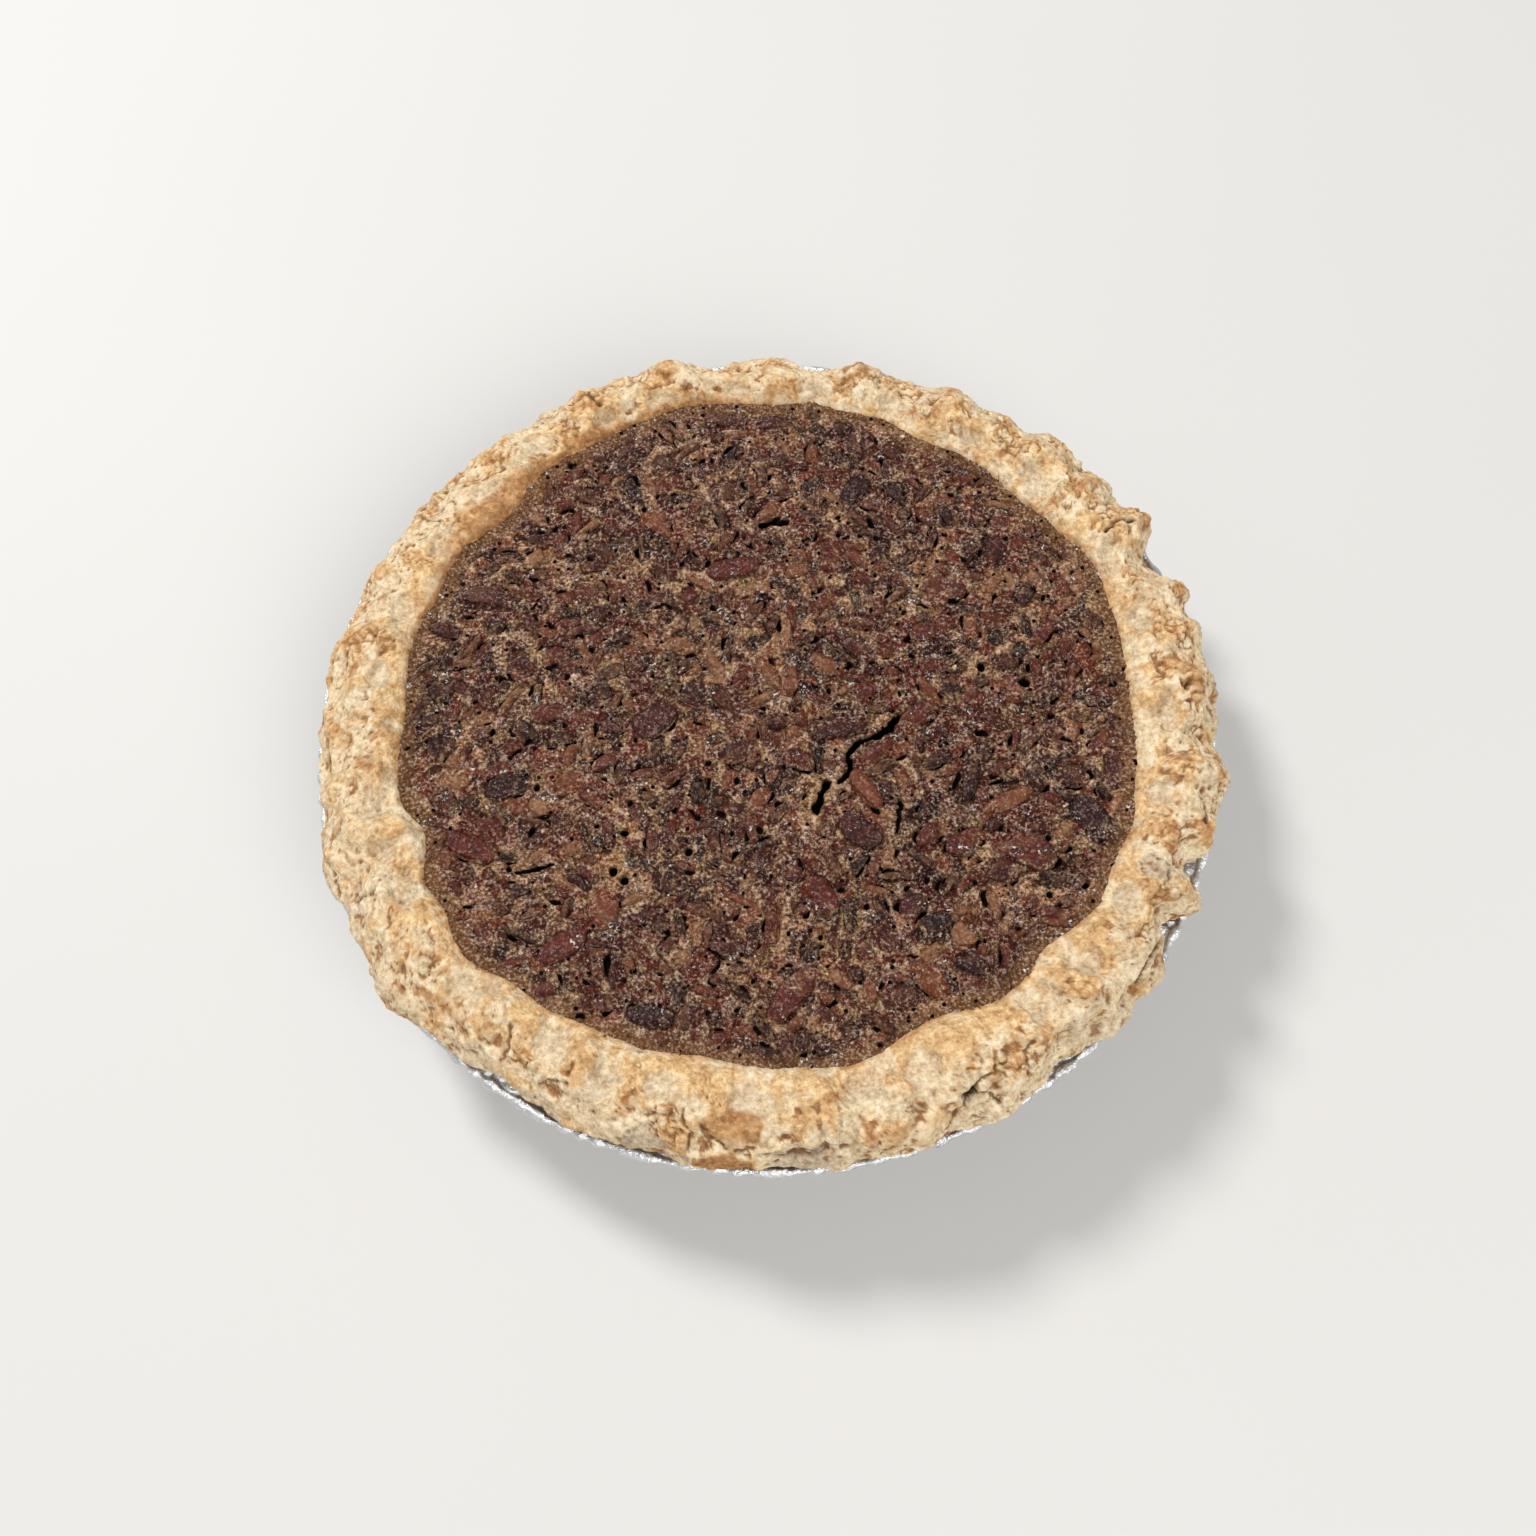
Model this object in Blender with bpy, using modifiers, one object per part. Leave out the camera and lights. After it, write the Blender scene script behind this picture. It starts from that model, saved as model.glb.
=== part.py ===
"""A pecan pie in its own foil tin: a nine inch pie with a hand-pinched crust.

Metres, +Z up. The tin stands on z = 0 with its centre on the Z axis, and the front of the pie is at -Y.
"""

import math

import bmesh
import bpy
from mathutils import Euler, Matrix, Vector

MM = 0.001

# What touches keeps this much air between its faces.
GAP = 0.3 * MM

# The tin: a pressed foil pan with a sloping wall, a flat flange and a rolled edge.
TIN_RADIUS = 118 * MM
TIN_FLOOR_RADIUS = 91 * MM
TIN_WALL_RADIUS = 110 * MM
TIN_FLANGE_HEIGHT = 29.6 * MM
TIN_THICKNESS = 0.5 * MM
TIN_CORNER_RADIUS = 4 * MM
TIN_ROLL_RADIUS = 1.1 * MM
TIN_STEPS = 60
TIN_ROLL_STEPS = 5
TIN_ROLL_START = 150
TIN_ROLL_SPAN = 300

# The crust: a pastry bowl that fills the tin, with a pinched rim that lies over the flange.
PASTRY_THICKNESS = 3.2 * MM
LIP_RADIUS = 94.6 * MM
LIP_HEIGHT = 40.3 * MM
EDGE_RADIUS = 116.2 * MM
EDGE_HEIGHT = 33 * MM
EDGE_ROUNDING = 1.4 * MM
CREST_LIFT_FRONT = 6.0 * MM
CREST_LIFT_BACK = 4.3 * MM
CREST_SKEW_FRONT = 1.22
CREST_SKEW_BACK = 0.92
CREST_FULLNESS = 0.8
PINCH_LEAN = 3.0
CRUST_STEPS = 140
RIM_STEPS = 9

# The pinches round the rim: angle at the outer edge and half width in degrees, then the reach of the edge
# and the lift of the crest in millimetres. A negative reach is a hollow where the tin's flange shows.
REACH_COLUMN = 2
LIFT_COLUMN = 3
PINCHES = (
    (3.5, 5.0, 2.4, 2.4),
    (12.0, 4.5, 3.0, 1.8),
    (18.5, 3.5, 4.4, 1.6),
    (24.0, 4.0, -3.6, -0.6),
    (30.0, 4.5, 6.4, 3.0),
    (38.0, 5.0, 4.0, 2.8),
    (46.0, 6.0, 5.0, 3.4),
    (54.0, 3.5, 1.4, 1.2),
    (62.0, 5.5, 1.8, 3.2),
    (69.5, 4.0, -1.6, 0.4),
    (76.5, 4.0, 1.0, 2.6),
    (82.5, 4.5, -2.8, 0.2),
    (90.0, 4.5, 0.6, 2.2),
    (97.0, 5.0, -2.6, 0.2),
    (105.5, 5.0, 1.8, 4.0),
    (112.0, 4.0, 0.4, 2.0),
    (118.0, 4.0, 1.0, 2.8),
    (123.0, 3.5, 0.0, 1.4),
    (128.0, 4.5, -1.8, 0.2),
    (134.5, 5.0, 0.2, 2.0),
    (144.0, 5.5, -0.4, 1.6),
    (152.0, 4.5, -1.0, 0.8),
    (159.0, 5.0, 0.4, 2.0),
    (165.0, 4.0, -1.4, 0.2),
    (171.5, 5.0, 1.0, 2.4),
    (182.0, 5.0, 1.4, 2.2),
    (191.0, 5.0, 1.4, 1.4),
    (201.0, 7.0, 4.0, 2.2),
    (211.0, 5.0, 2.0, 1.6),
    (220.0, 8.0, 4.6, 1.8),
    (231.0, 5.0, 0.8, 2.4),
    (240.0, 6.0, 0.6, 1.0),
    (246.0, 4.5, 1.0, 2.0),
    (261.0, 6.0, 1.0, 2.2),
    (270.0, 5.0, 0.8, 1.0),
    (278.0, 4.5, 2.0, 2.4),
    (287.0, 6.0, 1.4, 1.6),
    (298.0, 5.0, 2.6, 2.4),
    (306.0, 4.0, 0.0, 1.8),
    (309.5, 3.0, -2.0, -0.2),
    (315.5, 4.5, 3.4, 2.4),
    (323.5, 5.0, 3.0, 1.6),
    (329.0, 3.0, -2.8, 0.0),
    (334.0, 3.5, 4.2, 2.2),
    (338.0, 3.5, -4.4, -0.6),
    (343.0, 4.0, 2.0, 1.6),
    (350.5, 5.0, 4.6, 2.6),
    (357.5, 3.5, 0.8, 1.4),
)

# Where the lip leans over the filling or draws back from it: angle and half width in degrees, then
# millimetres outwards.
LIP_WAVES = (
    (1.0, 14.0, -1.8),
    (25.5, 10.0, 2.4),
    (43.0, 8.0, -1.6),
    (63.0, 7.0, -1.8),
    (70.0, 7.0, 1.0),
    (82.0, 9.0, 1.2),
    (104.0, 16.0, 2.2),
    (141.0, 11.0, -4.2),
    (160.0, 7.0, -1.6),
    (181.0, 9.0, -1.8),
    (196.0, 7.0, 1.2),
    (203.0, 6.0, -3.0),
    (211.0, 6.0, 2.4),
    (223.0, 11.0, 4.6),
    (236.0, 8.0, 1.4),
    (261.0, 9.0, -1.6),
    (281.0, 7.0, 1.4),
    (294.5, 10.0, -3.4),
    (307.0, 7.0, 0.8),
    (315.0, 6.0, -1.6),
    (326.0, 8.0, 2.4),
    (339.0, 8.0, 1.8),
)

# The filling: one solid from the pastry's floor up to its uneven baked top.
FILLING_RINGS = (0.4, 0.75, 0.93)
FILLING_SKIRT = 3 * MM
FILLING_SLACK = 1.7 * MM
FILLING_DOME = 0.7 * MM
FILLING_SWELL = 0.5 * MM
SWELL_LENGTH = 21 * MM
SWELL_START_ACROSS = 0.6
SWELL_START_ALONG = -0.9
LIP_SLOPE = 20

# The largest pieces of pecan: place of the middle, length and width in millimetres, then the turn in degrees.
PECANS = (
    (-74.0, 31.0, 15.0, 5.4, -10),
    (-73.0, -40.0, 13.0, 5.6, -22),
    (-65.0, -24.0, 11.5, 4.6, 20),
    (-49.0, -65.5, 12.5, 4.8, 34),
    (-28.5, -5.5, 11.5, 6.0, 42),
    (-29.5, 55.0, 11.5, 5.2, -30),
    (-9.0, 40.5, 14.0, 4.6, 12),
    (-10.5, -0.5, 12.5, 6.0, -86),
    (6.5, -77.0, 17.0, 4.8, 50),
    (-27.5, -82.5, 11.0, 4.2, -7),
    (12.5, -53.0, 10.5, 6.0, -50),
    (22.5, -35.0, 12.5, 6.0, -38),
    (24.5, -24.5, 11.0, 4.2, -54),
    (38.0, -4.5, 12.5, 5.0, 35),
    (18.0, -7.0, 16.0, 4.8, 9),
    (62.5, -40.0, 17.0, 7.2, -28),
    (81.0, -33.0, 14.0, 6.6, -50),
    (49.0, -38.5, 10.5, 4.6, 28),
    (37.0, -53.0, 13.5, 4.4, 57),
    (38.5, -73.5, 11.0, 5.2, -45),
    (44.0, 22.5, 14.0, 4.6, 27),
    (22.5, 16.0, 10.5, 4.8, -36),
    (46.5, 33.2, 12.0, 4.4, 2),
    (24.0, 66.0, 10.5, 4.6, 55),
    (17.5, 44.0, 11.5, 5.4, 80),
    (61.0, 46.0, 10.0, 5.2, 82),
)
PECAN_FULLNESS = 1.15
PECAN_THICKNESS = 4.2 * MM
PECAN_SHOWING = 1.2 * MM
PECAN_BLUNTNESS = 0.6
PECAN_GROOVE = 0.8 * MM
PECAN_BEND = 0.10
PECAN_TILT = 5
PECAN_TILT_TURN = 2.3
PECAN_END = 0.9
POCKET_CLEARANCE = 0.45 * MM


def cleared_scene():
    for old in list(bpy.data.objects):
        bpy.data.objects.remove(old, do_unlink=True)


def collection_named(name, hidden=False):
    collection = bpy.data.collections.new(name)
    collection.hide_render = hidden
    bpy.context.scene.collection.children.link(collection)
    return collection


def finish(name, color, roughness, metallic=0.0):
    material = bpy.data.materials.new(name)
    material.use_nodes = True
    shader = material.node_tree.nodes["Principled BSDF"]
    shader.inputs["Base Color"].default_value = (*color, 1.0)
    shader.inputs["Roughness"].default_value = roughness
    shader.inputs["Metallic"].default_value = metallic
    return material


def object_from(bm, name, collection, material=None):
    mesh = bpy.data.meshes.new(name)
    bm.to_mesh(mesh)
    bm.free()
    mesh.shade_smooth()
    if material:
        mesh.materials.append(material)
    made = bpy.data.objects.new(name, mesh)
    collection.objects.link(made)
    return made


def mixed(low, high, share):
    return low + (high - low) * share


def bump(offset, half_width):
    """1 at the middle, falling smoothly to 0 at half_width and beyond, with both in degrees."""
    offset = (offset + 180) % 360 - 180
    if abs(offset) >= half_width:
        return 0.0
    return math.cos(math.pi / 2 * offset / half_width) ** 2


def front_share(degrees):
    """0 at the back of the pie and 1 at the front."""
    return 0.5 - 0.5 * math.sin(math.radians(degrees))


def lip_radius(degrees):
    return LIP_RADIUS + sum(MM * reach * bump(degrees - at, width) for at, width, reach in LIP_WAVES)


def pinched(degrees, column):
    """The sum at this angle of what the pinches add, from the given column of their table."""
    return sum(MM * pinch[column] * bump(degrees - pinch[0], pinch[1]) for pinch in PINCHES)


def rim_point(degrees, share):
    """A point (radius, height) of the rim's top, from the lip at share 0 to the outer edge at share 1."""
    leaning = degrees + PINCH_LEAN * (1 - share)
    front = front_share(degrees)
    skew = mixed(CREST_SKEW_BACK, CREST_SKEW_FRONT, front)
    arch = max(math.sin(math.pi * share**skew), 0.0) ** CREST_FULLNESS
    lift = mixed(CREST_LIFT_BACK, CREST_LIFT_FRONT, front) + pinched(leaning, LIFT_COLUMN)
    edge = EDGE_RADIUS + pinched(leaning, REACH_COLUMN)
    return mixed(lip_radius(degrees), edge, share), mixed(LIP_HEIGHT, EDGE_HEIGHT, share) + lift * arch


def tin_wall(height):
    """The inner radius of the tin's sloping wall at a height."""
    slope = (TIN_WALL_RADIUS - TIN_FLOOR_RADIUS) / TIN_FLANGE_HEIGHT
    return TIN_FLOOR_RADIUS + slope * height - TIN_THICKNESS


def crust_section(degrees):
    """The pastry's outline at one angle: inner floor, lip, pinched rim, underside and outer floor."""
    floor = TIN_THICKNESS + GAP
    inner_floor = floor + PASTRY_THICKNESS
    over_roll = TIN_FLANGE_HEIGHT + TIN_ROLL_RADIUS + GAP
    edge_radius, edge_height = rim_point(degrees, 1.0)
    rim = [rim_point(degrees, step / RIM_STEPS) for step in range(RIM_STEPS + 1)]
    return [
        (0.0, inner_floor),
        (tin_wall(inner_floor) - PASTRY_THICKNESS, inner_floor),
        *rim,
        (edge_radius - EDGE_ROUNDING, over_roll),
        (tin_wall(over_roll) - GAP, over_roll),
        (tin_wall(floor + TIN_CORNER_RADIUS) - GAP, floor + TIN_CORNER_RADIUS),
        (tin_wall(floor) - TIN_CORNER_RADIUS, floor),
        (0.0, floor),
    ]


def filling_top(x, y):
    """The height of the baked top: a low dome with slow swells."""
    spread = math.hypot(x, y) / LIP_RADIUS
    across = math.sin(x / SWELL_LENGTH + SWELL_START_ACROSS)
    swell = across * math.cos(y / SWELL_LENGTH + SWELL_START_ALONG)
    fade = 1 - min(spread, 1.0) ** 2
    return LIP_HEIGHT - GAP + fade * (FILLING_DOME + FILLING_SWELL * swell)


def filling_section(degrees):
    """The filling's outline at one angle: the top from the middle out, the side and the bottom."""
    bottom = TIN_THICKNESS + PASTRY_THICKNESS + 2 * GAP
    side = lip_radius(degrees) - GAP / math.cos(math.radians(LIP_SLOPE))
    outward = Vector((math.cos(math.radians(degrees)), math.sin(math.radians(degrees))))
    reaches = [share * side for share in (0.0, *FILLING_RINGS, 1.0)]
    top = [(reach, filling_top(*(outward * reach))) for reach in reaches]
    skirt = (side - FILLING_SLACK, top[-1][1] - FILLING_SKIRT)
    return [*top, skirt, (tin_wall(bottom) - PASTRY_THICKNESS - FILLING_SLACK, bottom), (0.0, bottom)]


def lofted(name, section_at, steps, collection, material):
    """A closed body through a section at each angle. Each section starts and ends on the Z axis."""
    bm = bmesh.new()
    first = section_at(0)
    poles = [bm.verts.new((0, 0, first[end][1])) for end in (0, -1)]
    columns = []
    for step in range(steps):
        degrees = 360 * step / steps
        turn = Matrix.Rotation(math.radians(degrees), 3, "Z")
        section = section_at(degrees)[1:-1]
        ring = [bm.verts.new(turn @ Vector((radius, 0, height))) for radius, height in section]
        columns.append([poles[0], *ring, poles[1]])
    for left, right in zip(columns, columns[1:] + columns[:1]):
        for row in range(len(left) - 1):
            corners = [left[row], left[row + 1], right[row + 1], right[row]]
            bm.faces.new(list(dict.fromkeys(corners)))
    bmesh.ops.recalc_face_normals(bm, faces=bm.faces)
    return object_from(bm, name, collection, material)


def tin_profile():
    """The tin's outline from the middle of its inside, over the rolled edge, to the middle underneath."""
    corner = TIN_CORNER_RADIUS / 2
    roll_middle = TIN_RADIUS - TIN_ROLL_RADIUS
    inside = [
        (0.0, TIN_THICKNESS),
        (tin_wall(0) - corner, TIN_THICKNESS),
        (tin_wall(corner + TIN_THICKNESS), corner + TIN_THICKNESS),
        (tin_wall(TIN_FLANGE_HEIGHT), TIN_FLANGE_HEIGHT),
    ]
    roll = []
    for step in range(TIN_ROLL_STEPS + 1):
        turn = math.radians(TIN_ROLL_START - TIN_ROLL_SPAN * step / TIN_ROLL_STEPS)
        radius = roll_middle + TIN_ROLL_RADIUS * math.cos(turn)
        roll.append((radius, TIN_FLANGE_HEIGHT + TIN_ROLL_RADIUS * math.sin(turn)))
    underneath = TIN_FLANGE_HEIGHT - TIN_THICKNESS
    outside = [
        (tin_wall(underneath) + 2 * TIN_THICKNESS, underneath),
        (tin_wall(corner) + TIN_THICKNESS, corner),
        (tin_wall(0) - corner, 0.0),
        (0.0, 0.0),
    ]
    return inside + roll + outside


def foil_tin(collection, material):
    bm = bmesh.new()
    points = [bm.verts.new((radius, 0, height)) for radius, height in tin_profile()]
    for start, end in zip(points, points[1:]):
        bm.edges.new((start, end))
    tin = object_from(bm, "foil_tin", collection, material)
    turned = tin.modifiers.new("Turned", "SCREW")
    turned.steps = TIN_STEPS
    turned.render_steps = TIN_STEPS
    turned.use_merge_vertices = True
    turned.merge_threshold = 0.00001
    return tin


def pecan_cage(length, width, growth):
    """A blunt, slightly bent lozenge along X with a groove down its back, grown outwards by growth."""
    bm = bmesh.new()
    bmesh.ops.create_uvsphere(bm, u_segments=6, v_segments=4, radius=1.0)
    bmesh.ops.rotate(bm, cent=(0, 0, 0), matrix=Matrix.Rotation(math.pi / 2, 3, "Y"), verts=bm.verts)
    for vertex in bm.verts:
        x, y, z = vertex.co
        blunt = math.copysign(abs(x) ** PECAN_BLUNTNESS, x)
        on_back = abs(x) < PECAN_END and z > PECAN_END * math.sqrt(1 - x * x)
        groove = PECAN_GROOVE if on_back else 0.0
        along = blunt * (length / 2 + growth)
        across = y * (PECAN_FULLNESS * width / 2 + growth) + PECAN_BEND * width * (1 - blunt * blunt)
        vertex.co = (along, across, z * (PECAN_THICKNESS / 2 + growth) - groove)
    bmesh.ops.recalc_face_normals(bm, faces=bm.faces)
    return bm


def placed(made, number, place):
    """Lays a piece of pecan in the filling with only its back showing."""
    x, y, degrees = place
    tilt = math.radians(PECAN_TILT)
    sideways = tilt * math.sin(number)
    endways = tilt * math.cos(PECAN_TILT_TURN * number)
    sunk = PECAN_THICKNESS / 2 - PECAN_SHOWING
    made.location = (x * MM, y * MM, filling_top(x * MM, y * MM) - sunk)
    made.rotation_euler = Euler((sideways, endways, math.radians(degrees)))
    return made


def build():
    cleared_scene()
    pie = collection_named("pecan_pie")
    cutters = collection_named("cutters", hidden=True)
    foil = finish("foil", (0.78, 0.79, 0.80), 0.25, 1.0)
    pastry = finish("pastry", (0.66, 0.46, 0.26), 0.75)
    custard = finish("custard", (0.17, 0.09, 0.045), 0.45)
    nut = finish("nut", (0.13, 0.035, 0.02), 0.4)
    foil_tin(pie, foil)
    lofted("crust", crust_section, CRUST_STEPS, pie, pastry)
    filling = lofted("filling", filling_section, CRUST_STEPS, pie, custard)
    for number, (x, y, length, width, degrees) in enumerate(PECANS, 1):
        place = (x, y, degrees)
        cage = pecan_cage(length * MM, width * MM, 0)
        placed(object_from(cage, f"pecan_{number:02}", pie, nut), number, place)
        cutter = pecan_cage(length * MM, width * MM, POCKET_CLEARANCE)
        pocket = placed(object_from(cutter, f"pocket_{number:02}", cutters), number, place)
        pocket.hide_render = True
        pocket.display_type = "WIRE"
    pockets = filling.modifiers.new("Pockets", "BOOLEAN")
    pockets.operation = "DIFFERENCE"
    pockets.operand_type = "COLLECTION"
    pockets.collection = cutters
    pockets.solver = "EXACT"


build()
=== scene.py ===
import itertools
import math
from types import SimpleNamespace

import bpy
import numpy as np
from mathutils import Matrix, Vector
from mathutils.bvhtree import BVHTree


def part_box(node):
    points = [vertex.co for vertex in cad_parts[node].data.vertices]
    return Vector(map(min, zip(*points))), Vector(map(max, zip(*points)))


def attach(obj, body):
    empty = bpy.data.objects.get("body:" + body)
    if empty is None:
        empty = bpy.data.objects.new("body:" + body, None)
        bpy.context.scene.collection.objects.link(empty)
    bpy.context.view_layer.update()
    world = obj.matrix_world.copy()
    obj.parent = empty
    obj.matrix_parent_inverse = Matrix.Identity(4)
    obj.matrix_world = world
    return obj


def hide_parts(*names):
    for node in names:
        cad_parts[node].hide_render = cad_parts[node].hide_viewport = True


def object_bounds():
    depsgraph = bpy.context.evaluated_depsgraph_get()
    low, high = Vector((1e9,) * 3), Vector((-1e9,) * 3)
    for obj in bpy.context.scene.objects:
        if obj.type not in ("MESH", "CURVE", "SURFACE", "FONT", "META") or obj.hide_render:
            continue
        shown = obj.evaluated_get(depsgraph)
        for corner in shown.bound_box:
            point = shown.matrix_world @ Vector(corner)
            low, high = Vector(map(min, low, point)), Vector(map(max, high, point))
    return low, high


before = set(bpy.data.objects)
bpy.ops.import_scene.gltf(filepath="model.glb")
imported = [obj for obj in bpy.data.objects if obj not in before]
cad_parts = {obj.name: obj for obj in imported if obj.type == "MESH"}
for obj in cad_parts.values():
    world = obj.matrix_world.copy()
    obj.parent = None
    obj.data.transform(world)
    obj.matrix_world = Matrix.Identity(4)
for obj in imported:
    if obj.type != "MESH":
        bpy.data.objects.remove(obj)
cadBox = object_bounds()

# Shapes are worked out in millimetres and handed to Blender in metres.
mm = 0.001
pie = bpy.data.collections.new("pie")
bpy.context.scene.collection.children.link(pie)


def smooth(low, high, value):
    share = np.clip((value - low) / (high - low), 0, 1)
    return share * share * (3 - 2 * share)


def hill(offset, halfWidth):
    # 1 in the middle, falling smoothly to 0 at the half width
    return 1 - smooth(0, halfWidth, np.abs(offset))


def dome(distance):
    # a round top with steep sides, 0 from distance 1 outwards
    return np.sqrt(np.clip(1 - distance**2, 0, 1))


def hashed(cell, seed):
    # the same number from 0 to 1 each time for a whole-number cell
    number = cell[..., 0] * 73856093 ^ cell[..., 1] * 19349663 ^ cell[..., 2] * 83492791 ^ seed * 15485863
    number = (number ^ number >> 15) * 2246822519 & 0xFFFFFFFF
    number = (number ^ number >> 13) * 3266489917 & 0xFFFFFFFF
    return (number ^ number >> 16) / 0xFFFFFFFF


def softNoise(points, size, seed):
    # gradient noise, about -1 to 1, with features of the given size in millimetres
    place = points / size
    cell = np.floor(place).astype(np.int64)
    part = place - cell
    ease = part * part * (3 - 2 * part)
    total = np.zeros(place.shape[:-1])
    for corner in itertools.product((0, 1), repeat=3):
        weight = np.prod(np.where(corner, ease, 1 - ease), axis=-1)
        slope = np.stack([hashed(cell + corner, seed * 7 + axis) for axis in range(3)], axis=-1) * 2 - 1
        total += weight * np.sum(slope * (part - corner), axis=-1)
    return 1.6 * total


def layered(points, size, seed, layers=3, gain=0.5):
    return sum(gain**layer * softNoise(points, size / 2**layer, seed + layer) for layer in range(layers))


def wobble(points, size, seed):
    # a soft push in all three directions
    return np.stack([softNoise(points, size, seed + axis) for axis in range(3)], axis=-1)


def lumps(points, size, seed):
    # round tops with narrow creases between them, about -1 to 1
    return 1 - 3.2 * np.abs(softNoise(points, size, seed))


def cobbles(points, size, seed):
    # distance to the nearest of scattered centres, how much farther the next one is, and the nearest
    # one's own number
    place = points / size
    cell = np.floor(place).astype(np.int64)
    nearest = np.full(place.shape[:-1], 9.0)
    following = nearest.copy()
    number = np.zeros_like(nearest)
    for step in itertools.product((-1, 0, 1), repeat=3):
        home = cell + step
        centre = home + np.stack([hashed(home, seed * 5 + axis) for axis in range(3)], axis=-1)
        away = np.linalg.norm(place - centre, axis=-1)
        closer = away < nearest
        following = np.where(closer, nearest, np.minimum(following, away))
        number = np.where(closer, hashed(home, seed * 5 + 3), number)
        nearest = np.where(closer, away, nearest)
    return nearest, following - nearest, number


def blurred(field, across, along=0.0):
    # softens a grid, round the pie over across columns and along each section over along rows
    result = field
    for axis, sigma, edge in ((0, across, "wrap"), (1, along, "edge")):
        if sigma <= 0:
            continue
        reach = int(3 * sigma) + 1
        steps = np.arange(-reach, reach + 1)
        weights = np.exp(-0.5 * (steps / sigma) ** 2)
        weights /= weights.sum()
        padding = [(0, 0)] * field.ndim
        padding[axis] = (reach, reach)
        padded = np.pad(result, padding, mode=edge)
        size = result.shape[axis]
        result = sum(w * np.take(padded, range(k, k + size), axis=axis) for k, w in enumerate(weights))
    return result


def gridNormals(points):
    around = np.roll(points, -1, axis=0) - np.roll(points, 1, axis=0)
    down = np.gradient(points, axis=1)
    normals = np.cross(down, around)
    return normals / np.linalg.norm(normals, axis=-1, keepdims=True)


def ringFaces(columns, rows, closed=True):
    # quads of a grid that runs round the pie, its sections closed loops or open
    column, row = np.meshgrid(np.arange(columns), np.arange(rows if closed else rows - 1), indexing="ij")
    column, row = column.ravel(), row.ravel()
    besides, below = (column + 1) % columns, (row + 1) % rows
    corners = (column * rows + row, column * rows + below, besides * rows + below, besides * rows + row)
    return np.stack(corners, axis=-1)


def pieceOf(name, points, faces, material, masks=None):
    # an object with its place in its mesh, and a colour attribute that the material reads
    mesh = bpy.data.meshes.new(name)
    mesh.from_pydata((np.asarray(points) * mm).tolist(), [], [list(face) for face in faces])
    mesh.materials.append(material)
    mesh.shade_smooth()
    if masks is not None:
        paintMasks(mesh, masks)
    made = bpy.data.objects.new(name, mesh)
    pie.objects.link(made)
    return made


def paintMasks(mesh, masks):
    channels = np.ones((len(mesh.vertices), 4), np.float32)
    channels[:, : masks.shape[1]] = np.clip(masks, 0, 1)
    mesh.attributes.new("masks", "FLOAT_COLOR", "POINT").data.foreach_set("color", channels.ravel())


def terraced(field, steps):
    # flat treads with short steep edges between them, as flaky pastry has
    climb = field * steps
    tread = np.floor(climb)
    return (tread + smooth(0.3, 0.7, climb - tread)) / steps


def cadPoints(node):
    return np.array([tuple(vertex.co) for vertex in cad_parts[node].data.vertices]) / mm


def cadRays(*nodes):
    points, faces = [], []
    for node in nodes:
        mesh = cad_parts[node].data
        start = len(points)
        points += [vertex.co / mm for vertex in mesh.vertices]
        faces += [[start + corner for corner in face.vertices] for face in mesh.polygons]
    return BVHTree.FromPolygons(points, faces)


def grown(made, tree, values):
    # runs a node tree on an object and leaves its result as a plain mesh
    modifier = made.modifiers.new("grown", "NODES")
    modifier.node_group = tree
    for item in tree.interface.items_tree:
        if item.in_out == "INPUT" and item.name in values:
            modifier[item.identifier] = values[item.name]
    graph = bpy.context.evaluated_depsgraph_get()
    mesh = bpy.data.meshes.new_from_object(made.evaluated_get(graph), depsgraph=graph)
    made.modifiers.clear()
    made.data = mesh
    return made


def newTree(name, inputs):
    # an empty node tree, its bench, and a wire from each named input
    tree = bpy.data.node_groups.new(name, "GeometryNodeTree")
    tree.interface.new_socket("Geometry", in_out="INPUT", socket_type="NodeSocketGeometry")
    for label, kind in inputs.items():
        tree.interface.new_socket(label, in_out="INPUT", socket_type=kind)
    tree.interface.new_socket("Geometry", in_out="OUTPUT", socket_type="NodeSocketGeometry")
    bench = Bench(tree)
    given = tree.nodes.new("NodeGroupInput").outputs
    return tree, bench, {label: Wire(bench, given[label]) for label in given.keys() if label}


class Wire:
    # a socket that adds Math nodes when it meets an operator

    def __init__(self, bench, socket):
        self.bench = bench
        self.socket = socket

    def maths(self, operation, *values):
        return self.bench.add("ShaderNodeMath", {"operation": operation}, dict(enumerate(values)))

    def __add__(self, other):
        return self.maths("ADD", self, other)

    __radd__ = __add__

    def __sub__(self, other):
        return self.maths("SUBTRACT", self, other)

    def __rsub__(self, other):
        return self.maths("SUBTRACT", other, self)

    def __mul__(self, other):
        return self.maths("MULTIPLY", self, other)

    __rmul__ = __mul__

    def __pow__(self, other):
        return self.maths("POWER", self, other)

    def risen(self, low, high):
        # 0 below low and 1 above high, with a soft change between them
        sockets = {"Value": self, "From Min": low, "From Max": high}
        return self.bench.add("ShaderNodeMapRange", {"interpolation_type": "SMOOTHSTEP"}, sockets)


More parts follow.
